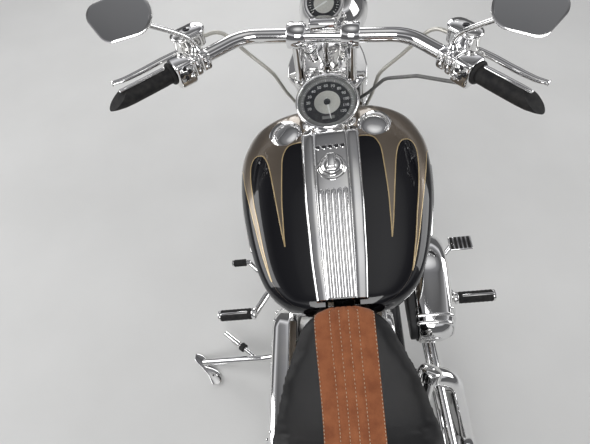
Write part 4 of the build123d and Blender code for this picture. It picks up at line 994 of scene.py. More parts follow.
# Switches, brake and clutch heads
for side, label in bothSides:
    at = onBar(139, side)
    front = 1 if (at.to_3x3() @ Vector((0, 1, 0))).x > 0 else -1  # local Y that points forward
    switch = softened(softBox((58, 50, 46), (-6, 0, -23), 9, 4), 0.6, 1)
    shells = [switch, softBox((46, 46, 20), (-2, 0, -54), 7, 4), softBox((42, 44, 24), (-2, 0, -76), 7, 4)]
    arm = softBox((24, 46, 26), (6, front * 26, -64), 6, 3)
    oblong = around([(0, -17, 23), (0, 17, 23)], 32)  # the reservoir seen from above, long way along the bar
    rows = []
    for share, height in ((0.80, -16), (0.92, -13), (0.94, 14), (1.0, 16), (1.02, 18), (1.02, 21.5),
                          (0.99, 23.5), (0.90, 25.6), (0.70, 27), (0.35, 27.8)):
        rows.append([(x * share, y * share, height) for x, y in oblong])
    pot = Matrix(((0, 0, 1, 21), (front, 0, 0, front * 46), (0, 1, 0, -76), (0, 0, 0, 1)))
    shells += [arm, moved(skinned(rows), pot)]
    for shift in (-23, 23):
        screw = turned([(0, 0), (4, 0), (4, 1.6), (2.2, 2), (0, 1.2)], 12)
        shells.append(moved(screw, facing((47.6, front * 46, -76 + shift), (1, 0, 0))))
    for spot in ((-22, 8), (-22, -10), (10, 12), (10, -10)):
        screw = turned([(0, 0), (3.6, 0), (3.6, 2.2), (2, 2.4), (0, 1.4)], 12)
        shells.append(moved(screw, facing((spot[0] + 6, -front * 25, -30 + spot[1]), (0, -front, 0))))
    leverLine = smoothed([(-2, front * 42, -70), (0, front * 56, -52), (-2, front * 61, -10),
                          (-5, front * 62, 40), (-7, front * 65, 86), (-7, front * 71, 108),
                          (-7, front * 73, 116)], 6)
    widths = [0.8 + 0.25 * sin(pi * min(index / 30, 1)) for index in range(len(leverLine))]
    for index, share in ((-4, 0.95), (-3, 1.1), (-2, 1.0), (-1, 0.6)):
        widths[index] = share
    lever = tubeAlong(leverLine, 8.6, 14, widths)
    shells.append(moved(lever, Matrix.Scale(0.62, 4, (1, 0, 0))))
    pivot = turned([(0, -14), (9, -14), (10, -12), (10, 12), (9, 14), (5, 15), (0, 15)], 24)
    shells.append(moved(pivot, facing((2, front * 46, -62), (1, 0, 0))))
    done(moved(joined(shells), at), f"hand_control_{label}", "fork", chrome, barPlace, node="hand_controls",
         smooth=40)
    sight = turned([(0, -2), (8, -2), (8, 0.9), (6.4, 1.6), (0, 1.8)], 24)
    done(moved(moved(sight, facing((48.4, front * 46, -76), (1, 0, 0))), at), f"sight_glass_{label}", "fork",
         darkLens, barPlace)
    buttons = []
    for spot in ((14, 2), (2, 12), (-10, 2), (2, -8)):
        buttons.append(softBox((9, 5, 8), (spot[0], -front * 26.5, -22 + spot[1]), 1.8, 2))
    done(moved(joined(buttons), at), f"switch_buttons_{label}", "fork", blackGloss, barPlace,
         slot="grip_rubber")

# Mirrors
mirror = {"centre": (1082, 372, 1158), "outline": ((18, 4, 43), (-24, -20, 25), (-38, 8, 26))}
for side, label in bothSides:
    centre = Vector((mirror["centre"][0], side * mirror["centre"][1], mirror["centre"][2]))
    wide, back = Vector((0.25, -side * 0.97, 0)).normalized(), Vector((-0.62, 0, 0.6)).normalized()
    place = Matrix((wide, back.cross(wide), back)).transposed().to_4x4()
    place.translation = centre
    outline = around([(x, side * y, radius) for x, y, radius in mirror["outline"]], 48)
    shell = domed(outline, ((0.95, 0.6), (1.0, 0), (1.005, -3), (0.985, -9), (0.9, -17), (0.74, -23),
                            (0.5, -27),
                            (0.25, -29)))
    root = onBar(205, side) @ Vector((20, 0, 0))
    neck = Vector((centre.x + 10, centre.y - side * 24, centre.z - 16))
    stem = tubeAlong(smoothed([root, root + Vector((0, 0, 16)), Vector((1141, side * 283, 1080)), neck], 8),
                     5.4, 14)
    ball = shifted(turned([(0, -12), (7, -9), (10, -3), (10.5, 3), (7, 9), (0, 12)], 24), neck)
    foot = turnedAt([(0, -3), (11, -3), (12, 0), (11, 7), (8, 10), (6, 16), (0, 16)], 24, root, (0, 0, 1))
    done(joined([moved(shell, place), stem, ball, foot]), f"mirror_shell_{label}", "fork", chrome, barPlace,
         node="mirrors", smooth=50)
    pane = prism(shrunk(outline, 0.93), 0.2, 1.4)
    done(moved(pane, place), f"mirror_pane_{label}", "fork", mirrorGlass, barPlace)
print("bars and mirrors")

# Tachometer on its post
tach = {"place": leaned((1274, 0, 1070), 38)}
cup = turned([(0, -54), (14, -54), (28, -51), (37, -44), (41, -32), (42, -18), (42.5, -6), (44, -4),
              (44.4, -1), (43, 1.6), (40, 2.4), (36.6, 1.6), (35.6, -1), (35.2, -5), (0, -5)], 64)
done(moved(cup, tach["place"]), "tachometer_cup", "fork", chrome, barPlace, node="tachometer", smooth=40)
done(moved(pin(35, -5, -3.6, 48), tach["place"]), "tachometer_face", "fork", dialBlack, barPlace)
done(moved(turned([(0, -3.6), (22, -3.6), (21, -2.8), (0, -2.8)], 48), tach["place"]), "tachometer_centre",
     "fork", dialSilver, barPlace)
marks = []
for number in range(25):
    turn = radians(220 - 260 * number / 24)
    mark = softBox((3 if number % 3 else 6, 0.9, 0.5), (0, 0, 0), 0.12, 1)
    spot = Vector((30.5 * cos(turn), 30.5 * sin(turn), -3.4))
    marks.append(moved(mark, Matrix.Translation(spot) @ Matrix.Rotation(turn, 4, "Z")))
pointer = prism([(-8, -1.6), (-8, 1.6), (0, 2), (28, 0.5), (28, -0.5), (0, -2)], -2.4, -1.8)
marks.append(moved(pointer, Matrix.Rotation(radians(212), 4, "Z")))
done(moved(joined(marks), tach["place"]), "tachometer_marks", "fork", dialWhite, barPlace, smooth=20)
lens = turned([(0, 1.8), (24, 1.2), (35.8, -0.6), (35.8, -1.6), (24, 0.2), (0, 0.8)], 48)
done(moved(lens, tach["place"]), "tachometer_glass", "fork", glass, barPlace, smooth=50)
post = [rod((1262, 0, 1040), onStem(40, 0, 1037), 8), softBox((34, 62, 22), (1240, 0, 1042), 6, 3),
        turnedAt([(0, 0), (16, 0), (17, 3), (14, 8), (10, 14), (0, 14)], 28, onStem(40, 0, 1036),
                 (-sin(rake), 0, cos(rake)))]
done(joined(post), "tachometer_post", "fork", chrome, barPlace, smooth=40)
print("tachometer")

# Wheels: rim, hub, crossed spokes, tyre and discs, each about its own axle along Y
wheels = {
    "front": {"at": (1670, 0, 341), "place": barPlace, "body": "front_wheel", "tyreR": 341, "width": 84,
              "crownR": 42,
              "rimR": 266.7, "rimWidth": 58, "hubHalf": 50, "flangeY": 34, "tread": "ribbed"},
    "rear": {"at": (0, 0, 328), "place": bikePlace, "body": "rear_wheel", "tyreR": 328, "width": 204,
             "crownR": 125,
             "rimR": 228.6, "rimWidth": 176, "hubHalf": 112, "flangeY": 66, "tread": "blocks"},
}
wheelFit = {"flangeR": 47, "spokePairs": 10, "spokeR": 2.1, "nippleR": 3.7, "lean": 62, "rimDepth": 17,
            "treadDeep": 4.2}


def onWheel(turn, radius, y):
    return Vector((radius * cos(turn), y, radius * sin(turn)))


def tyreProfile(wheel):
    half, shoulder = wheel["width"] / 2, wheel["width"] * 0.46
    line = []
    for step in range(-14, 15):
        y = shoulder * step / 14
        line.append((y, wheel["tyreR"] - wheel["crownR"] + sqrt(max(wheel["crownR"] ** 2 - y * y, 0))))
    edgeR = line[0][1]
    wideR = (edgeR + wheel["rimR"]) / 2 + 4
    bead = wheel["rimWidth"] / 2
    side = [(half * 0.985, edgeR * 0.6 + wideR * 0.4), (half, wideR),
            (half * 0.99, wideR * 0.7 + wheel["rimR"] * 0.3),
            (bead + (half - bead) * 0.55, wheel["rimR"] + 17), (bead + 2.5, wheel["rimR"] + 14.5),
            (bead + 1.5, wheel["rimR"] + 11), (bead - 0.5, wheel["rimR"] + 1.5)]
    return [(-y, r) for y, r in reversed(side)] + line + side


def treadDrop(wheel, spot, share):
    mirrorSpot = spot + (0.5 if share < 0 else 0)
    side = abs(share)
    deep = 0
    if wheel["tread"] == "ribbed":
        if abs(side - 0.2 - 0.02 * sin(2 * pi * spot)) < 0.045:
            deep = 1
        slant = (mirrorSpot + side * 0.8) % 1
        if 0.36 < side < 0.93 and slant < 0.2:
            deep = 1
    else:
        if side < 0.035 or abs(side - 0.36) < 0.032:
            deep = 1
        slant = (mirrorSpot + side * 0.9) % 1
        if 0.1 < side < 0.92 and slant < 0.17:
            deep = 1
    return deep * wheelFit["treadDeep"] * (1 if side < 0.8 else 0.5)


def makeTyre(wheel):
    profile = tyreProfile(wheel)
    pitches, fineness = (46, 8) if wheel["tread"] == "ribbed" else (40, 9)
    shoulder = wheel["width"] * 0.46
    rows = []
    for step in range(pitches * fineness):
        turn = 2 * pi * step / (pitches * fineness)
        row = []
        for y, radius in profile:
            share = y / shoulder
            drop = treadDrop(wheel, step / fineness,
                             share) if abs(share) <= 1 and radius > wheel["tyreR"] * 0.8 else 0
            row.append(onWheel(turn, radius - drop, y))
        rows.append(row)
    return looped(rows)


for label, wheel in wheels.items():
    half, rimR, inner = wheel["rimWidth"] / 2, wheel["rimR"], wheel["rimR"] - wheelFit["rimDepth"]
    centre = Matrix.Translation(wheel["at"])
    done(moved(makeTyre(wheel), centre), f"{label}_tyre_tread", wheel["body"], tyreRubber, wheel["place"],
         node=f"{label}_tyre", smooth=26)
    rimLine = [(rimR + 12, -half - 6.5), (rimR + 12.8, -half - 5), (rimR + 12, -half - 2.5),
               (rimR + 3, -half - 0.5), (rimR, -half + 2), (rimR, half - 2), (rimR + 3, half + 0.5),
               (rimR + 12, half + 2.5), (rimR + 12.8, half + 5), (rimR + 12, half + 6.5),
               (rimR + 8, half + 6.8), (rimR + 2, half + 4.4), (rimR - 3, half + 4.2), (rimR - 8, half + 2),
               (inner + 3, half * 0.72), (inner, half * 0.4), (inner - 1, 0), (inner, -half * 0.4),
               (inner + 3, -half * 0.72), (rimR - 8, -half - 2), (rimR - 3, -half - 4.2),
               (rimR + 2, -half - 4.4), (rimR + 8, -half - 6.8)]
    rim = moved(turned(rimLine, 128, ring=True), acrossBike)
    flange, hubHalf = wheel["flangeY"], wheel["hubHalf"]
    hubLine = [(12.3, -hubHalf), (24, -hubHalf), (27, -hubHalf + 2), (27, -flange - 1), (46, -flange),
               (47, -flange + 1.5), (47, -flange + 4.5), (45.5, -flange + 6), (33, -flange + 8),
               (26, -flange + 15), (22.5, -flange * 0.35), (22.5, flange * 0.35), (26, flange - 15),
               (33, flange - 8), (45.5, flange - 6), (47, flange - 4.5), (47, flange - 1.5), (46, flange),
               (27, flange + 1), (27, hubHalf - 2), (24, hubHalf), (12.3, hubHalf)]
    hub = moved(turned(hubLine, 72, ring=True), acrossBike)
    spokes = []
    nipples = []
    gap = pi / wheelFit["spokePairs"]
    for side in (-1, 1):
        for leading in (-1, 1):
            start = onWheel(leading * radians(wheelFit["lean"]), wheelFit["flangeR"] - 5,
                            side * (flange - 3 + 3.4 * leading))
            finish = onWheel(0, inner + 2, side * (half * 0.2 + 2.5 * leading))
            way = (finish - start).normalized()
            spoke = tubeAlong([start - way * 2, start + (finish - start) * 0.5, finish], wheelFit["spokeR"],
                              8)
            nipple = turnedAt([(0, -16), (2.6, -16), (wheelFit["nippleR"], -13), (wheelFit["nippleR"], 0),
                               (5.4, 2), (0, 3)], 8, finish, way)
            offset = (gap / 2 if side > 0 else 0) + (gap if leading > 0 else 0)
            places = [Matrix.Rotation(-(offset + 2 * gap * number), 4, "Y")
                      for number in range(wheelFit["spokePairs"])]
            spokes.append(repeated(spoke, places))
            nipples.append(repeated(nipple, places))
    done(moved(rim, centre), f"{label}_rim", wheel["body"], chrome, wheel["place"], node=f"{label}_wheel",
         smooth=40)
    done(moved(hub, centre), f"{label}_hub", wheel["body"], chrome, wheel["place"], node=f"{label}_wheel",
         smooth=35)
    done(moved(joined(spokes + nipples), centre), f"{label}_spokes", wheel["body"], chrome, wheel["place"],
         node=f"{label}_wheel", smooth=50)
    print(label, "wheel")

discs = {"r": 146, "band": 34, "thick": 5.5, "holes": 24, "holeR": 4.2}


def makeDisc(lowY):
    band = turned([(discs["r"] - discs["band"], 0), (discs["r"] - 0.6, 0), (discs["r"], 0.6),
                   (discs["r"], discs["thick"] - 0.6), (discs["r"] - 0.6, discs["thick"]),
                   (discs["r"] - discs["band"], discs["thick"])], 96, ring=True)
    holes = []
    for number in range(discs["holes"]):
        for shift, radius in ((0, discs["r"] - 9), (0.35, discs["r"] - 18), (0.7, discs["r"] - 27)):
            turn = 2 * pi * (number + shift) / discs["holes"]
            hole = pin(discs["holeR"], -3, 9, 10)
            holes.append(shifted(hole, (radius * cos(turn), radius * sin(turn), 0)))
    band = cut(band, joined(holes))
    arm = softened(prism([(46, -13), (60, -8), (100, -7), (118, -12), (118, 12), (100, 7), (60, 8),
                          (46, 13)], 0.4, discs["thick"] - 0.4), 1.2, 2)
    rivet = turned([(0, -0.6), (5, -0.6), (6, 0.4), (6, 5.1), (5, 6.1), (0, 6.1)], 16)
    arms = repeated(joined([arm, shifted(rivet, (113, 0, 0))]), ringOf(5))
    carrier = turned([(27.4, 0), (50, 0), (50, discs["thick"]), (27.4, discs["thick"])], 48, ring=True)
    return moved(joined([band, arms, carrier] + carrierBolts(discs["thick"])),
                 Matrix.Translation((0, lowY, 0)) @ acrossBike)


frontDisc = makeDisc(44.5)
done(shifted(frontDisc, wheels["front"]["at"]), "front_brake_disc", "front_wheel", brightSteel, barPlace,
     node="front_disc", smooth=30)
rearDisc = moved(makeDisc(0), Matrix.Scale(-1, 4, (0, 1, 0)))
done(shifted(rearDisc, (0, -106.5, 328)), "rear_brake_disc", "rear_wheel", brightSteel, node="rear_disc",
     smooth=30)

# Final drive
drive = {"y": 130, "width": 24, "pulleyR": 133, "smallR": 36, "at": (505, 330), "thick": 7, "tooth": 12}
outline = [Vector(point) for point in around([(0, 328, drive["pulleyR"] + 0.4),
                                              (*drive["at"], drive["smallR"])], 180)]
length = sum((b - a).length for a, b in zip(outline, outline[1:] + outline[:1]))
count = round(length / drive["tooth"]) * 4
spots = []
run, index, passed = 0, 0, 0
for number in range(count):
    goal = length * number / count
    here, ahead = outline[index % len(outline)], outline[(index + 1) % len(outline)]
    while goal > passed + (ahead - here).length:
        passed += (ahead - here).length
        index += 1
        here, ahead = outline[index % len(outline)], outline[(index + 1) % len(outline)]
    spots.append((here + (ahead - here).normalized() * (goal - passed), (ahead - here).normalized()))
middle = Vector((250, 329))
rows = []
low, high = drive["y"] - drive["width"] / 2, drive["y"] + drive["width"] / 2
for number, (spot, way) in enumerate(spots):
    out = Vector((way.y, -way.x))
    if out.dot(spot - middle) < 0:
        out.negate()
    inside = 0 if number % 4 < 2 else 2.6
    outside = drive["thick"] - 0.2
    first, last = spot + out * inside, spot + out * outside
    rows.append([(first.x, low, first.y), (last.x, low + 0.8, last.y), (last.x, high - 0.8, last.y),
                 (first.x, high, first.y)])
done(looped(rows), "toothed_belt", "chassis", beltRubber, node="drive_belt", smooth=20)

pulleyRim = turned([(117, -12.5), (137, -12.5), (137.4, -11.6), (132.6, -11), (132.6, 11), (137.4, 11.6),
                    (137, 12.5), (117, 12.5), (120, 8), (120, -8)],
                   96, ring=True)
pulleyArm = softened(prism([(42, -20), (70, -13), (98, -13), (120, -20), (120, 20), (98, 13), (70, 13),
                            (42, 20)], -25, -18), 2, 2)
pulleyFoot = softBox((14, 32, 30), (113, 0, -12), 3, 2)
pulleyArms = repeated(joined([pulleyArm, pulleyFoot]), ringOf(5))
pulleyHub = turned([(28, -25), (47, -25), (48, -24), (48, -19), (47, -18), (28, -18)], 48, ring=True)
pulley = moved(joined([pulleyRim, pulleyArms, pulleyHub] + carrierBolts(-18.4)), acrossBike)
done(shifted(pulley, (0, 130, 328)), "drive_pulley", "rear_wheel", chrome, node="rear_pulley", smooth=30)
print("drive")

# Frame
tubes = {"railR": 16, "armY": 168, "spineR": 22}
railPath = [onStem(-18, 26, 849), (1150, 100, 226), (1040, 130, 136), (535, 130, 136), (415, 168, 196),
            (415, 168, 590)]
rail = bentTube([tuple(point) for point in railPath], 70, tubes["railR"], 24)
railCap = rod((415, 168, 588), (415, 168, 594), 17.5, 15, 24, 1.5)
done(mirrored(joined([rail, railCap])), "frame_tubes", "chassis", framePaint, node="frame_rails", smooth=50)
neckLine = [(26.2, 815), (36.5, 815), (37.5, 817), (37.5, 824), (35, 828), (34.4, 850), (34.4, 970),
            (35, 992), (37.5, 996), (37.5, 1003), (36.5, 1005), (26.2, 1005)]
neck = moved(turned(neckLine, 48, ring=True), stemFrame)
spine = bentTube([tuple(onStem(0, 0, 930)), (1130, 0, 790), (900, 0, 764), (690, 0, 722), (420, 0, 556)],
                 110, tubes["spineR"], 24)
gusset = softened(plate([(1262, 790), (1150, 776), (1190, 700), (1310, 700)], -6, 6), 2, 2)
crossTube = rod((415, -151.5, 556), (415, 151.5, 556), 14)
lugs = [softBox((34, 66, 28), (x, 0, z), 4, 2) for x, z in ((889, 759), (1093, 781))]
spineCut = pin(26.1, 700, 1100, 40)
backbone = cut(spine, moved(spineCut, stemFrame))
done(joined([neck, backbone, gusset, crossTube] + lugs), "frame_spine", "chassis", framePaint,
     node="frame_backbone", smooth=40)
armPieces = []
frontX = 415 - 16 - 14 - 0.3
for side in (-1, 1):
    y = side * tubes["armY"]
    armPieces += [rod((34, y, 328), (frontX, y, 236), 14), rod((34, y, 348), (frontX, y, 520), 14),
                  rod((frontX, y, 226), (frontX, y, 528), 14),
                  softBox((108, 28, 62), (16, y, 331), 9, 4),
                  softBox((46, 6, 30), (12, y + side * 12.6, 328), 2.4, 2)]
armPieces += [rod((frontX, -168, 230), (frontX, 168, 230), 14),
              rod((frontX, -168, 520), (frontX, 168, 520), 14)]
done(joined(armPieces), "swing_frame", "chassis", framePaint, node="swingarm", smooth=40)
axleParts = [rod((0, -193, 328), (0, 193, 328), 11.9, sides=32)]
for side in (-1, 1):
    axleParts.append(rod((0, side * 113, 328), (0, side * 153.6, 328), 17.5, sides=32))
    axleParts.append(turnedAt([(0, 0), (17, 0), (18, 1.5), (18, 9), (16, 11.5), (0, 11.5)], 6,
                              (0, side * 182.4, 328), (0, side, 0)))
done(joined(axleParts), "rear_axle_nuts", "chassis", chrome, node="rear_axle", smooth=30)
print("frame")

# Engine: a V of two finned barrels
engine = {"crank": (840, 315), "vee": 22.5, "barrelTop": 272, "headTop": 338, "barrelR": 50,
          "finHalf": (66, 58), "finPitch": 8.6, "finThick": 2.6, "tubeY": -74, "tubeR": 8.6}
crankAt = Matrix.Translation((engine["crank"][0], 0, engine["crank"][1]))


def roundedRect(halfX, halfY, bend, shiftX=0, shiftY=0, steps=6):
    points = []
    for signX, signY, start in ((1, 1, 0), (-1, 1, 90), (-1, -1, 180), (1, -1, 270)):
        for step in range(steps + 1):
            turn = radians(start + 90 * step / steps)
            points.append((signX * (halfX - bend) + bend * cos(turn) + shiftX, signY * (halfY - bend)
                           + bend * sin(turn) + shiftY))
    return points


for side, label in ((1, "front"), (-1, "rear")):
    barrelAt = crankAt @ Matrix.Rotation(side * radians(engine["vee"]), 4, "Y")
    barrel = turned([(0, 140.4), (56, 140.4), (57, 142), (57, 147), (50, 150),
                     (engine["barrelR"], engine["barrelTop"]), (0, engine["barrelTop"])], 48)
    layers = [prism(roundedRect(50, 47, 18), 271, engine["headTop"])]
    height = 152
    while height < engine["headTop"] - 4:
        grow = 1.07 if height > engine["barrelTop"] else 1
        halfX, halfY = engine["finHalf"][0] * grow, engine["finHalf"][1] * grow
        inner = min(halfX, (height * sin(radians(engine["vee"])) - 3) / cos(radians(engine["vee"])))
        shift = side * (halfX - inner) / 2
        fin = prism(roundedRect((halfX + inner) / 2, halfY, 24, shift, 0, 5), height, height
                    + engine["finThick"])
        layers.append(softened(fin, 0.5, 1))
        height += engine["finPitch"]
    done(moved(joined(layers), barrelAt), f"{label}_cylinder_fins", "chassis", darkCast, node="cylinders",
         smooth=30)
    done(moved(barrel, barrelAt), f"{label}_cylinder_barrel", "chassis", darkCast, node="cylinders",
         smooth=40)
    lower = softened(prism(roundedRect(67, 74, 22, 0, -8), 338.4, 352), 1.5, 2)
    middle = softened(prism(roundedRect(65, 71, 22, 0, -7), 352, 361), 2, 2)
    lid = domed(roundedRect(52, 58, 20, 0, -2, 8), ((0.99, 361), (1, 363), (1, 382), (0.97, 389), (0.9, 393),
                                                    (0.78, 395.2), (0.4, 396)))
    rockers = [lower, middle, lid]
    for spot in ((-57, 50), (57, 50), (-57, -64), (57, -64), (0, -71), (0, 60)):
        rockers.append(screwAt((*spot, 361 if abs(spot[0]) > 1 else 352.5), (0, 0, 1), 5, 6))
    for spot in ((-36, -38), (36, -38), (-36, 34), (36, 34)):
        rockers.append(capNut((*spot, 391), (0, 0, 1), 5.5, 8))
    done(moved(joined(rockers), barrelAt), f"{label}_rocker_cover", "chassis", chrome, node="rocker_boxes",
         smooth=40)
    pushrods = []
    for across in (-15, 15):
        tubeLine = [(0, 150), (12.5, 150), (13, 152), (13, 160), (11.6, 163), (8.6, 166),
                    (engine["tubeR"], 238), (10.4, 240), (10.4, 252), (8.6, 254), (8.6, 318), (12, 322),
                    (12.5, 330), (12, 338), (0, 338)]
        pushrods.append(shifted(turned(tubeLine, 28), (across, engine["tubeY"], 0)))
    lifter = softBox((60, 28, 62), (0, engine["tubeY"] - 0.5, 123), 6, 3)
    pushrods.append(lifter)
    for spot in ((-22, 106), (22, 106), (-22, 142), (22, 142)):
        pushrods.append(screwAt((spot[0], engine["tubeY"] - 14.4, spot[1]), (0, -1, 0), 4.6, 4))
    done(moved(joined(pushrods), barrelAt), f"{label}_pushrod_tubes", "chassis", chrome, node="cam_cover",
         smooth=40)

caseLine = around([(840, 315, 118), (776, 366, 62), (904, 366, 62), (732, 250, 26)], 60)
caseBody = domed(caseLine, ((0.96, -60), (0.99, -57), (1, -52), (1, -4), (1.012, -3), (1.012, 3), (1, 4),
                            (1, 52), (0.99, 57), (0.96, 60)))
caseBody = moved(caseBody, sideOn)
casePieces = [caseBody, rod((840, 59, 315), (840, 147, 315), 69, sides=48, edge=3)]
decks = []
for side in (1, -1):
    deck = softened(prism(roundedRect(60, 57, 16), 96, 140.2), 2, 2)
    decks.append(moved(deck, crankAt @ Matrix.Rotation(side * radians(engine["vee"]), 4, "Y")))
for number in range(11):
    turn = radians(-40 - 26 * number)
    for side in (-1, 1):
        casePieces.append(screwAt((840 + 108 * cos(turn), side * 59, 315 + 108 * sin(turn)), (0, side, 0),
                                  5.5, 5))
for lowX, highX, top in ((-95, -65, 205), (72, 100, 245)):
    casePieces.append(softBox((highX - lowX, 226, top - 150), (840 + (lowX + highX) / 2, 0, (top + 150) / 2),
                              5, 3))
done(joined(casePieces + decks), "engine_cases", "chassis", castAlloy, node="crankcase", smooth=35)

nose = around([(840, 309, 87), (886, 363, 41), (794, 363, 41)], 60)
noseCover = moved(domed(nose, ((1, 60.5), (1, 84), (0.985, 90), (0.94, 93.2), (0.86, 94), (0.3, 94))), sideOn)
timer = turned([(0, 0), (67, 0), (66, 3), (64, 12), (60, 19), (57, 21), (52, 21.6), (48, 19.8), (44, 19.2),
                (0, 20.2)], 80)
timer = moved(timer, facing((840, -90, 315), (0, -1, 0)))
camPieces = [noseCover, timer]
for number in range(5):
    camPieces.append(softBox((72 - 8 * abs(number - 2), 2.4, 5), (840, -110.8, 315 + 13 * (number - 2)), 1.1,
                             2))
for number in range(8):
    turn = radians(45 * number + 12)
    camPieces.append(screwAt((840 + 78 * cos(turn), -93, 313 + 76 * sin(turn)), (0, -1, 0), 4.8, 4))
done(joined(camPieces), "cam_chest", "chassis", chrome, node="cam_cover", smooth=35)

cleaner = {"circles": [(866, 579, 97), (754, 563, 51)]}
cleanerLine = around(cleaner["circles"], 72)
shellSteps = ((0.97, 153), (1.0, 156), (1.0, 186), (0.99, 203), (0.955, 216), (0.9, 225), (0.82, 231),
              (0.7, 234.4), (0.5, 235.6), (0.2, 236))
cleanerShell = moved(domed(cleanerLine, shellSteps), sideOn)
cleanerRibs = []
cleanerMiddle = middleOf(cleanerLine)
for ribX in (756, 741, 726):  # three rings round the tail
    over, under = [], []
    for share, depth in smoothed(shellSteps, 3):
        x = cleanerMiddle.x + (ribX - cleanerMiddle.x) / share - 754
        if abs(x) < 50:
            tall = sqrt(51 ** 2 - x ** 2)
            for side, row in ((1, over), (-1, under)):
                z = cleanerMiddle.y + (563 + side * tall - cleanerMiddle.y) * share
                row.append((ribX, -depth, z))
    cleanerRibs.append(tubeAlong(smoothed(over + under[::-1], 2), 4.4, 12))
ringSeat = turned([(0, 0), (17, 0), (17.5, 2), (15, 4), (10, 5), (9, 7), (7, 8.2), (0, 8.6)], 40)
cleanerRibs.append(moved(ringSeat, facing((868, -235, 579), (0, -1, 0))))
done(joined([cleanerShell] + cleanerRibs), "air_cleaner_cover", "chassis", chrome, node="air_cleaner",
     smooth=50)
backing = plate(around([(866, 579, 84), (754, 563, 42)], 60), -151.6, -136)
throat = [rod((840, -12, 573), (840, -137, 573), 24), softBox((60, 48, 78), (840, -102, 568), 8, 3),
          rod((776, -22, 573), (904, -22, 573), 17)]
bowl = turned([(0, -26), (18, -26), (22, -22), (23, 0), (0, 0)], 32)
throat.append(shifted(bowl, (840, -102, 531)))
done(joined([softened(backing, 2, 2)] + throat), "intake_and_backing", "chassis", darkCast, node="intake",
     smooth=35)

primary = {"circles": [(840, 315, 99.5), (562, 302, 123.5)]}
primaryLine = around(primary["circles"], 90)
cover = domed(primaryLine, ((0.99, -147.8), (1, -150), (1, -165), (1.003, -166), (1.003, -172),
                            (0.995, -174), (0.99, -196), (0.97, -208), (0.935, -215), (0.89, -218),
                            (0.4, -218)))
cover = moved(cover, sideOn)
derby = turnedAt([(0, 0), (74, 0), (74, 4), (72, 7), (66, 10.5), (58, 12), (50, 12.4), (46, 11.4),
                  (0, 13.6)], 88, (562, 218, 302), (0, 1, 0))
stator = turnedAt([(0, 0), (52, 0), (52, 3), (49, 6.5), (42, 8.4), (34, 9), (31, 8), (0, 9.6)], 72,
                  (840, 218, 315), (0, 1, 0))
primaryPieces = [cover, derby, stator]
for number in range(5):
    turn = radians(72 * number + 18)
    primaryPieces.append(screwAt((562 + 63 * cos(turn), 228.4, 302 + 63 * sin(turn)), (0, 1, 0), 4.6, 4))
for number, (x, z) in enumerate(primaryLine):
    if number % (len(primaryLine) // 14) == 0:
        primaryPieces.append(screwAt((700 + (x - 700) * 0.955, 205, 308 + (z - 308) * 0.925), (0, 1, 0), 5.4,
                                     9))
done(joined(primaryPieces), "primary_chaincase", "chassis", chrome, node="primary_cover", smooth=40)

gearLine = rounded([(456, 300), (456, 264), (590, 252), (666, 300), (660, 396), (600, 415), (458, 415),
                    (456, 300)], 14, 5)
gearCase = softened(plate(gearLine[:-1], -111, 103), 4, 3)
gearPieces = [gearCase, rod((505, 100, 330), (505, 141.8, 330), 35.4, sides=40),
              rod((590, -130, 330), (590, -108, 330), 52, 50, 48, 3)]
for shift in (-76, -38, 0, 38, 76):
    gearPieces.append(softBox((128, 5, 8), (528, shift, 413), 2, 2))
for number in range(6):
    turn = radians(60 * number)
    gearPieces.append(screwAt((590 + 44 * cos(turn), -129.6, 330 + 44 * sin(turn)), (0, -1, 0), 4.8, 4))
done(joined(gearPieces), "gearbox_case", "chassis", castAlloy, node="gearbox", smooth=35)
print("engine")

# Oil tank with its filler
oil = {"half": 137, "neck": ((542, -126, 505), (612, -158, 594)), "cap": ((606, -155, 586), (624, -164, 609))}
oilLine = rounded([(438, 480), (439, 437), (571, 437), (577, 539), (473, 539), (438, 520), (438, 480)], 14, 5)
oilBody = softened(plate(oilLine[:-1], -oil["half"], oil["half"]), 9, 4)
oilFoot = softBox((76, 120, 24), (518, 0, 428), 4, 2)
done(joined([oilBody, oilFoot]), "oil_tank_body", "chassis", blackGloss, node="oil_tank", smooth=40)
neckPart = rod(*oil["neck"], 14.6, sides=32)
capAt = facing(oil["cap"][0], Vector(oil["cap"][1]) - Vector(oil["cap"][0]))
capBody = turned([(0, 0), (22, 0), (24, 2), (24.6, 6), (24.6, 20), (23.4, 24), (20, 27), (12, 29),
                  (0, 29.8)], 56)
flute = pin(1.7, -9, 9, 10)
capBody = moved(cut(capBody, repeated(flute, ringOf(18, (25.4, 0, 13)))), capAt)
done(joined([neckPart, capBody]), "oil_filler", "chassis", chrome, node="oil_tank", smooth=35)

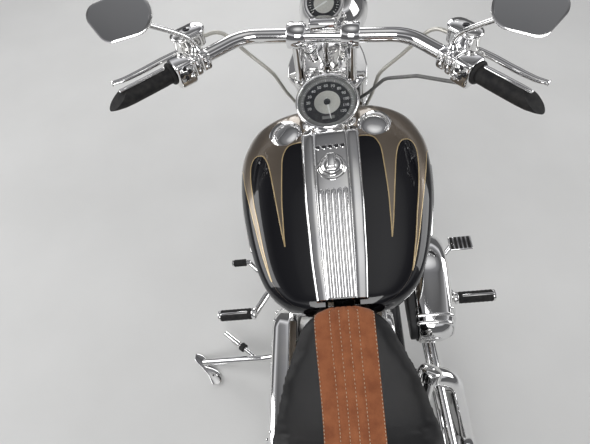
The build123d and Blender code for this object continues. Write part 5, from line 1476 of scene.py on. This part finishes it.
# Exhausts
pipes = {
    "front": {"path": [(1027.6, -4, 567.4), (1124, -12, 527), (1056, -208, 166), (300, -240, 158)],
              "bend": 72, "silencer": ((300, -240, 158), (-300, -262, 158))},
    "rear": {"path": [(652.6, -24, 567.4), (617, -36, 552), (648, -216, 500), (566, -250, 290),
                      (330, -253, 252)], "bend": 62,
             "silencer": ((330, -253, 252), (-330, -258, 222))},
}
for label, pipe in pipes.items():
    path = rounded(pipe["path"], pipe["bend"], 12)
    pieces = [tubeAlong(path, 21.6, 28)]
    start, finish = Vector(pipe["silencer"][0]), Vector(pipe["silencer"][1])
    tall = (finish - start).length
    silencer = turned([(21, -34), (24, -34), (25.5, -30), (25.5, -12), (24, -8), (27, 0), (34, 18), (39, 44),
                       (40.2, 60), (40.2, 64), (39.4, 66), (39.4, tall - 40), (40.4, tall - 38),
                       (40.4, tall - 30), (39.4, tall - 28), (39.4, tall - 1.5), (38.4, tall),
                       (36.6, tall - 1), (36.2, tall - 60), (12, tall - 62), (0, tall - 62), (0, -30)], 56)
    pieces.append(moved(silencer, facing(start, finish - start)))
    clampBand = turned([(22, -9), (25.6, -9), (26, -7), (26, 7), (25.6, 9), (22, 9)], 40, ring=True)
    at = Vector(path[-1]) + (start - finish).normalized() * 90
    pieces.append(moved(clampBand, facing(at, finish - start)))
    pieces.append(screwAt(at + Vector((0, -25, 6)), (0, -1, 0), 6, 9))
    flangeAt = Vector(pipe["path"][0])
    flangeRing = turned([(20, -2), (31, -2), (32, 0), (32, 7), (30, 9), (22, 9)], 40, ring=True)
    pieces.append(moved(flangeRing, facing(flangeAt, Vector(pipe["path"][1]) - flangeAt)))
    done(joined(pieces), f"{label}_exhaust", "chassis", chrome, node="exhausts", smooth=45)
print("exhausts")

# Mudguards
guards = {
    "front": {"at": (1670, 0, 341), "start": -96, "sweep": 112, "place": barPlace, "body": "fork",
              "section": [(-57, 307.5), (-57, 330), (-55.6, 345), (-48, 355), (-34, 360.6), (-14, 361.9),
                          (0, 362), (14, 361.9), (34, 360.6), (48, 355), (55.6, 345), (57, 330),
                          (57, 307.5)]},
    "rear": {"at": (0, 0, 328), "start": -110, "sweep": 158, "place": bikePlace, "body": "chassis",
             "section": [(-118, 263), (-118, 300), (-118, 322), (-114, 338), (-104, 346), (-88, 350.4),
                         (-50, 351), (0, 351), (50, 351), (88, 350.4), (104, 346), (114, 338), (118, 322),
                         (118, 300), (118, 263)]},
}
for label, guard in guards.items():
    section = smoothed(guard["section"], 4)
    rows = []
    for step in range(73):
        share = step / 72
        turn = radians(guard["start"] + guard["sweep"] * share)
        ends = min(share, 1 - share)
        lift = max(0, 1 - ends / 0.09) ** 2 * (0.75 if label == "front" else 0.6)
        row = []
        for y, radius in section:
            crownR = guard["section"][6][1]
            skirtDrop = crownR - radius
            if skirtDrop > 16:
                radius = crownR - 16 - (skirtDrop - 16) * (1 - lift)
            row.append((guard["at"][0] + radius * sin(turn), y, guard["at"][2] + radius * cos(turn)))
        rows.append(row)
    sheet = modified(outwards(skinned(rows, wrap=False, caps=False)), "SOLIDIFY", thickness=2.8, offset=-1)
    done(sheet, f"{label}_mudguard", guard["body"], blackGloss, guard["place"], node=f"{label}_fender",
         smooth=50)
stayAt = Vector((26, 0, 655.1))
stays = []
for side in (-1, 1):
    stays.append(softBox((24, 9, 18), tuple(stayAt + Vector((0, side * 61, 0))), 2, 2))
    for shift in (-6, 6):
        stays.append(screwAt(stayAt + Vector((shift, side * 57.4, 0)), (0, -side, 0), 3.6, 2.6))
done(joined(stays), "front_mudguard_stays", "fork", chrome, forkPlace, node="front_fender", smooth=35)
strutLine = [(400, 546), (400, 573), (330, 580), (240, 588), (120, 591), (0, 582), (-100, 567), (-166, 555),
             (-175, 545), (-172, 532), (-156, 525), (-132, 526), (-60, 544), (20, 555), (110, 558),
             (240, 556), (330, 550)]
strut = softened(plate(smoothed(strutLine, 3, True), 118.6, 129.6), 2.6, 3)
boltSpots = ((330, 565), (120, 574), (-60, 558), (-148, 541))
strutBolts = [capNut((x, 129.4, z), (0, 1, 0), 8, 8) for x, z in boltSpots]
done(mirrored(joined([strut] + strutBolts)), "mudguard_struts", "chassis", chrome, node="fender_struts",
     smooth=40)

# Tail lamp and plate holder
lampAt = Matrix.Translation((0, 0, 328)) @ Matrix.Rotation(radians(-68), 4, "Y")
lampAt = lampAt @ Matrix.Translation((0, 0, 351.5))
lampBase = domed(roundedRect(31, 51, 12, 0, 0, 8), ((0.96, 0), (1, 2), (1, 12), (0.97, 15), (0.9, 16)))
done(moved(lampBase, lampAt), "tail_lamp_base", "chassis", chrome, node="tail_lamp", smooth=40)
lampLens = domed(roundedRect(27, 46, 12, 0, 0, 8), ((0.99, 14), (1, 16), (1, 30), (0.97, 35), (0.9, 38),
                                                    (0.75, 39.6), (0.3, 40)))
lensRibs = [softBox((50 - abs(number) * 3, 1.6, 3), (0, number * 9, 38.6), 0.7, 2) for number in range(-4, 5)]
done(moved(joined([lampLens] + lensRibs), lampAt), "tail_lamp_lens", "chassis", redLens, node="tail_lamp",
     smooth=50)
holder = {"backX": -403.8, "lowZ": 408, "skinX": -341.9}
board = plate([(0, 0), (6, 0), (6, 112), (0, 112)], -92, 92)
board = softened(shifted(board, (holder["backX"], 0, holder["lowZ"])), 1.4, 2)
holes = [moved(pin(3.3, -20, 20, 20), facing((holder["backX"], y, 500), (1, 0, 0))) for y in (-73, 73)]
board = cut(board, joined(holes))
rimTube = tubeAlong([(holder["backX"] - 0.2 + 3, y, z) for y, z in roundedRect(89, 53, 8, 0, 464)], 3.6, 12,
                    looped=True)
arm = softBox((62, 60, 8), ((holder["backX"] + holder["skinX"]) / 2 + 2, 0, 412), 2, 2)
done(joined([board, rimTube, arm]), "plate_holder", "chassis", brightSteel, node="plate_bracket",
     slot="chrome", smooth=35)
print("mudguards and lamp")

# Springer fork
fork = {"legY": 80, "foot": (25, 378), "headU": 28, "springFoot": (112, 372), "springU": 88, "rodY": 46,
        "rockerY": 97, "axle": (68.76, 359.13)}
forkParts = []
for side in (-1, 1):
    y = side * fork["legY"]
    leg = turned([(0, 0), (11, 0), (12, 2), (13, 60), (14, 300), (14, 560), (14, 632), (0, 632)], 32)
    foot = Vector((fork["foot"][0], y, fork["foot"][1]))
    head = Vector((fork["headU"], y, 1010))
    forkParts.append(moved(leg, facing(foot, head - foot)))
    forkParts.append(rod(foot - Vector((0, side * 13, 0)), foot + Vector((0, side * 15, 0)), 17, sides=32,
                         edge=2))
    forkParts.append(rod(foot, foot + Vector((0, side * 36.4, 0)), 7.9, sides=24))
    forkParts.append(capNut(foot + Vector((0, side * 29.4, 0)), (0, side, 0), 10, 12))
lowerLine = smoothed([(-34, -24), (-16, -62), (6, -95), (27, -100), (46, -95), (53, -60), (54, 0), (53, 60),
                      (46, 95), (27, 100), (6, 95), (-16, 62), (-34, 24), (-38, 0)],
                     4, True)
lower = softened(prism([(min(x, 54), min(max(y, -98), 98)) for x, y in lowerLine], 780, 805), 4, 3)
races = [pin(25.6, low, low + 18, 48) for low in (815, 987)]
stem = pin(14, 790, 1010, 32)
forkParts += [lower, stem] + races
done(joined(forkParts), "rigid_legs", "fork", chrome, forkPlace, node="rigid_fork", smooth=35)
topLine = smoothed([(-34, -30), (-16, -66), (8, -95), (28, -99), (48, -96), (82, -84), (108, -64),
                    (112, -30), (112, 30), (108, 64), (82, 84), (48, 96), (28, 99), (8, 95), (-16, 66),
                    (-34, 30), (-38, 0)], 4, True)
top = softened(prism([(min(x, 112), min(max(y, -98), 98)) for x, y in topLine], 1010.4, 1035.2), 4, 3)
rodHoles = [shifted(pin(7.4, 1000, 1045, 24), (fork["springU"], side * fork["rodY"], 0))
            for side in (-1, 1)]
top = cut(top, joined(rodHoles))
stemNut = shifted(turned([(0, 0), (17, 0), (17, 5), (14, 7), (0, 7)], 6), (0, 0, 1035))
done(joined([top, stemNut]), "top_bridge", "fork", chrome, forkPlace, node="top_clamp", smooth=35)
springParts = []
for side in (-1, 1):
    y = side * fork["legY"]
    foot = Vector((fork["springFoot"][0], y, fork["springFoot"][1]))
    head = Vector((fork["springU"], y, 819))
    leg = turned([(0, 0), (9.5, 0), (10.5, 3), (11.4, 80), (12, 250), (12, (head - foot).length),
                  (0, (head - foot).length)], 32)
    springParts.append(moved(leg, facing(foot, head - foot)))
    springParts.append(rod(foot - Vector((0, side * 14, 0)), foot + Vector((0, side * 15, 0)), 15, sides=32,
                           edge=2))
    springParts.append(rod(foot, foot + Vector((0, side * 36, 0)), 7.9, sides=24))
    springParts.append(capNut(foot + Vector((0, side * 29.4, 0)), (0, side, 0), 9, 12))
    rodAt = (fork["springU"], side * fork["rodY"])
    rodLine = [(0, 815), (7, 815), (7, 1090), (0, 1092)]
    springParts.append(shifted(turned(rodLine, 24), (*rodAt, 0)))
    nutLine = [(0, 1077), (19, 1077), (19, 1080), (15, 1081), (14.6, 1086), (12, 1092), (6, 1095.4),
               (0, 1096)]
    springParts.append(shifted(turned(nutLine, 32), (*rodAt, 0)))
bridgeLine = smoothed([(66, -94), (110, -94), (112, -50), (113, 0), (112, 50), (110, 94), (66, 94), (63, 50),
                       (62, 0), (63, -50)], 4, True)
bridgeLine = [(x, min(max(y, -96), 96)) for x, y in bridgeLine]
springParts.append(softened(prism(bridgeLine, 811, 827), 3, 3))
done(joined(springParts), "spring_legs", "fork", chrome, forkPlace, node="spring_fork", smooth=35)


def coilSpring(radius, low, high, turns, wire):
    path = []
    count = turns * 28
    for step in range(count + 1):
        share = step / count
        height = low + wire + (high - low - 2 * wire) * share
        turn = 2 * pi * turns * share
        path.append(((radius - wire) * cos(turn), (radius - wire) * sin(turn), height))
    return tubeAlong(path, wire, 12)


coils = []
for side in (-1, 1):
    at = Matrix.Translation((fork["springU"], side * fork["rodY"], 0))
    coils.append(moved(coilSpring(24, 827.6, 1009.6, 8, 3.5), at))
    coils.append(moved(coilSpring(19, 1035.8, 1076.6, 3, 3.2), at))
done(joined(coils), "fork_coil_springs", "fork", chrome, forkPlace, node="fork_springs", smooth=60)
rockerParts = []
for side in (-1, 1):
    low = side * (fork["rockerY"] + 6) - 6
    line = around([(*fork["foot"], 20), (*fork["axle"], 23), (*fork["springFoot"], 18)], 48)
    rocker = softened(plate(line, low, low + 12), 2.4, 3)
    holes = []
    for (u, w), radius in ((fork["foot"], 8.1), (fork["axle"], 12.1), (fork["springFoot"], 8.1)):
        holes.append(moved(pin(radius, -30, 30, 32), facing((u, side * 103, w), (0, 1, 0))))
    rockerParts.append(cut(rocker, joined(holes)))
done(joined(rockerParts), "fork_rocker_links", "fork", chrome, forkPlace, node="fork_rockers", smooth=35)
axleU, axleW = fork["axle"]
axleParts = [rod((axleU, -120, axleW), (axleU, 120, axleW), 11.9, sides=32)]
for side in (-1, 1):
    axleParts.append(rod((axleU, side * 51, axleW), (axleU, side * 96.7, axleW), 16.6, sides=32))
    axleParts.append(capNut((axleU, side * 109.4, axleW), (0, side, 0), 15.5, 12))
done(joined(axleParts), "front_axle_nuts", "fork", chrome, forkPlace, node="front_axle", smooth=35)
print("springer fork")

# Brake calipers
caliper = [softBox((56, 11, 90), (-20, 57.6, 471), 5, 3), softBox((56, 11, 90), (-20, 36, 471), 5, 3),
           softBox((56, 32, 15), (-20, 46.7, 509), 5, 3)]
for w in (448, 478):
    caliper.append(turnedAt([(0, 0), (14, 0), (15, 1.5), (14, 3), (10, 3.6), (9, 2.6), (0, 2.6)], 32,
                            (-22, 62.8, w), (0, 1, 0)))
caliper.append(softBox((30, 9, 27), (5, 61, 457), 3, 2))
caliper.append(screwAt((-2, 62.6, 432), (0, 1, 0), 6, 5))
done(joined(caliper), "front_brake_caliper", "fork", chrome, forkPlace, node="front_caliper", smooth=35)
discTurn = radians(60)
backAt = Vector((134 * cos(discTurn), 0, 328 + 134 * sin(discTurn)))
rearParts = [softBox((84, 19, 72), (backAt.x, -124, backAt.z + 10), 6, 3),
             softBox((84, 14, 72), (backAt.x, -96, backAt.z + 10), 5, 3),
             softBox((84, 46, 13), (backAt.x, -111, backAt.z + 39), 5, 3),
             softBox((20, 52, 22), (backAt.x + 30, -148, backAt.z + 3), 3, 2),
             softBox((20, 12, 62), (backAt.x + 30, -168, backAt.z - 24), 3, 2)]
for x in (-22, 14):
    rearParts.append(turnedAt([(0, 0), (15, 0), (16, 1.5), (14, 3.4), (0, 3.4)], 32, backAt
                              + Vector((x, -133, 8)), (0, -1, 0)))
done(joined(rearParts), "rear_brake_caliper", "chassis", chrome, node="rear_caliper", smooth=35)

# Headlamp
headlampAt = Matrix.Translation((236, 0, 935)) @ Matrix.Rotation(radians(30), 4, "Y")
headlampAt = headlampAt @ Matrix.Rotation(pi / 2, 4, "Y")
bucket = turned([(0, -105), (16, -104.6), (31, -102), (54, -90), (73, -70), (84, -46), (88, -22),
                 (88.6, -12), (91, -9), (91.6, -4), (90.6, 0.5), (86, 2.6), (82, 1.4), (80, -2), (74, -14),
                 (60, -30), (36, -42), (14, -46), (0, -46)], 96)
ear = softBox((34, 20, 34), (176, 0, 987), 5, 3)
tabPlate = softBox((8, 44, 52), (116, 0, 1009), 3, 2)
tabBar = softBox((86, 36, 18), (156, 0, 993), 4, 3)
done(moved(bucket, headlampAt), "headlamp_bucket", "fork", chrome, forkPlace, node="headlamp", smooth=40)
done(joined([ear, tabPlate, tabBar, capNut((176, 0, 1003), (0, 0, 1), 8, 9)]), "headlamp_mount", "fork",
     chrome, forkPlace, node="headlamp", smooth=35)
lampGlass = turned([(0, 9), (30, 8), (60, 4.6), (80, -0.6), (81.6, -1.6), (80, -2.6), (60, 2.4), (30, 5.8),
                    (0, 6.8)], 72)
done(moved(lampGlass, headlampAt), "headlamp_glass", "fork", glass, forkPlace, smooth=50)
bulb = turned([(0, -46), (10, -46), (11, -40), (9, -30), (8, -22), (5, -17), (0, -15)], 24)
done(moved(bulb, headlampAt), "headlamp_bulb", "fork", dialWhite, forkPlace, smooth=50)

# Hoses and cables that the fork holds
hoseFoot = 808.4
for side, label in bothSides:
    inner = onBar(139, side) @ Vector((20, side * 40, -98))
    route = [inner, Vector((1240, side * 236, 1030)), Vector((1246, side * 176, 958)),
             onStem(6, side * 126, 1074),
             onStem(2, side * 112, 950), onStem(4, side * 90, hoseFoot - 3.6)]
    done(bentTube(route, 45, 4.4, 14), f"{label}_hose", "fork", braid, barPlace, node="control_cables",
         smooth=60)
throttle = [onBar(163, -1) @ Vector((-42, 0, 0)), Vector((1180, -208, 948)), onStem(-14, -140, 1090),
            onStem(-14, -104, 1000),
            onStem(-4, -66, 900), onStem(0, -58, hoseFoot - 3.6)]
done(bentTube(throttle, 45, 4.2, 14), "throttle_cable", "fork", cableGrey, barPlace, node="control_cables",
     smooth=60)

# Foot controls
feet = {"pegX": 943, "pegY": 407, "pegZ": 306, "long": 113, "toe": (1106, 367, 342)}
for side, label in bothSides:
    innerY = side * (feet["pegY"] - feet["long"])
    pegFoot = Vector((feet["pegX"], innerY, feet["pegZ"]))
    elbow = Vector((1062, side * 234, 290))
    armFoot = Vector((1174.7, side * 90.2, 290))
    leverEnd = Vector((feet["toe"][0], side * (feet["toe"][1] - 52), feet["toe"][2]))
    way = (elbow - armFoot).normalized()
    metal = [bentTube([armFoot + way * 17, elbow, pegFoot], 40, 11, 20),
             rod((1062, side * 214, 290), (1062, side * 262, 290), 18, sides=32, edge=2),
             rod((1062, side * 256, 290), leverEnd, 8, sides=20),
             turnedAt([(0, 0), (13, 0), (18, 4), (19, 10), (17, 14), (0, 14)], 32,
                      (feet["pegX"], innerY - side * 6, feet["pegZ"]), (0, side, 0)),
             turnedAt([(0, 0), (16.6, 0), (17, 2), (16, 6), (9, 8), (0, 8.4)], 32,
                      (feet["pegX"], side * (feet["pegY"] - 8.4), feet["pegZ"]), (0, side, 0))]
    stripe = softBox((7, 84, 3), (feet["pegX"] - 3, side * 356, feet["pegZ"] + 16), 1.2, 2)
    metal.append(stripe)
    if side > 0:
        metal.append(rod(leverEnd - Vector((0, 8, 0)), leverEnd + Vector((0, 6, 0)), 9, sides=24))
        metal.append(rod((1106, 361, 342), (1106, 367, 342), 10.6, sides=24))
    else:
        metal.append(softBox((48, 68, 8), (1106, -337, 341), 3.4, 3))
    done(joined(metal), f"{label}_foot_control", "chassis", chrome, node="foot_controls", smooth=40)
    rubber = [turnedAt([(0, 6), (15, 6), (16.6, 8), (16.6, 102), (15, 104), (0, 104)], 32, pegFoot,
                       (0, side, 0))]
    for number in range(8):
        ring = turned([(15, -2.4), (17, -2), (17.2, 0), (17, 2), (15, 2.4)], 32, ring=True)
        rubber.append(moved(ring, facing((feet["pegX"], innerY + side * (16 + 12 * number), feet["pegZ"]),
                                         (0, side, 0))))
    if side > 0:
        rubber.append(rod((1106, 321, 342), (1106, 361, 342), 11, sides=28, edge=1.5))
        for number in range(5):
            ring = turned([(9.6, -1.6), (11.4, -1.2), (11.6, 0), (11.4, 1.2), (9.6, 1.6)], 28, ring=True)
            rubber.append(moved(ring, facing((1106, 326 + 7.6 * number, 342), (0, 1, 0))))
    else:
        for number in range(5):
            rubber.append(softBox((42, 8, 4), (1106, -315 - 12.5 * number + 4, 349 - 3.4), 1.4, 2))
    done(joined(rubber), f"{label}_foot_rubber", "chassis", gripRubber, node="foot_controls", smooth=40)
print("foot controls")

# Side stand
prop = {"hinge": (872, 152, 168), "knee": (878, 302.3, 122.7), "ankle": (893, 516, 86.8), "r": 11,
        "spot": (93.0, 394.1)}
hingeAt = Matrix.Translation(prop["hinge"]) @ facing((0, 0, 0), (-0.04, 0.29, 0.956)).to_3x3().to_4x4()
standLeg = tubeAlong(rounded([prop["hinge"], prop["knee"], prop["ankle"]], 120, 14), prop["r"], 24)
hub = moved(turned([(8.1, -12), (20, -12), (21, -11), (21, 11), (20, 12), (8.1, 12)], 40, ring=True), hingeAt)
knee = Vector(prop["knee"])
tangFoot, tangTip = knee + Vector((2, 22, -8)), knee + Vector((98, 138, 1))
tang = joined([rod(tangFoot, tangTip, 8, 8, 24, 2), rod(tangFoot.lerp(tangTip, 0.52), tangTip, 11, 10.4, 32,
                                                        4)])
hole = moved(pin(8.1, -40, 40, 24), hingeAt)
legPart = cut(standLeg, hole)
standPart = joined([legPart, hub, tang])
done(standPart, "stand_leg", "side_stand", chrome, node="side_stand", smooth=40)
stop = turned([(7.9, -9), (12, -9), (13.6, -7), (13.6, 7), (12, 9), (7.9, 9)], 36, ring=True)
stop = moved(stop, facing(tangFoot.lerp(tangTip, 0.44), tangTip - tangFoot))
done(stop, "stand_stop_rubber", "side_stand", gripRubber)
bladeLine = smoothed([(-62, -63), (-30, -51), (4, -16), (26, 8), (33.6, 33), (22, 34), (10, 33), (-14, 8),
                      (-44, -19), (-73, -35), (-75, -50)], 3, True)
blade = softened(prism([(min(max(x, -74), 34), min(max(y, -64), 34)) for x, y in bladeLine], 0, 9), 2, 2)
floorPlace = Matrix.Translation((prop["spot"][0] / 1000, prop["spot"][1] / 1000, 0)) @ Matrix.Scale(0.001, 4)
done(blade, "stand_foot_blade", "side_stand", chrome, floorPlace, node="side_stand", smooth=35)
print("side stand")

# Of the CAD's own nodes only the stand's bracket stays in sight
for nodeName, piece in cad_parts.items():
    if not piece.hide_render:
        finish = framePaint if nodeName == "stand_bracket" else chrome
        if not piece.data.materials:
            piece.data.materials.append(finish)
        for entry in piece.material_slots:
            entry.material = finish
print("finished")
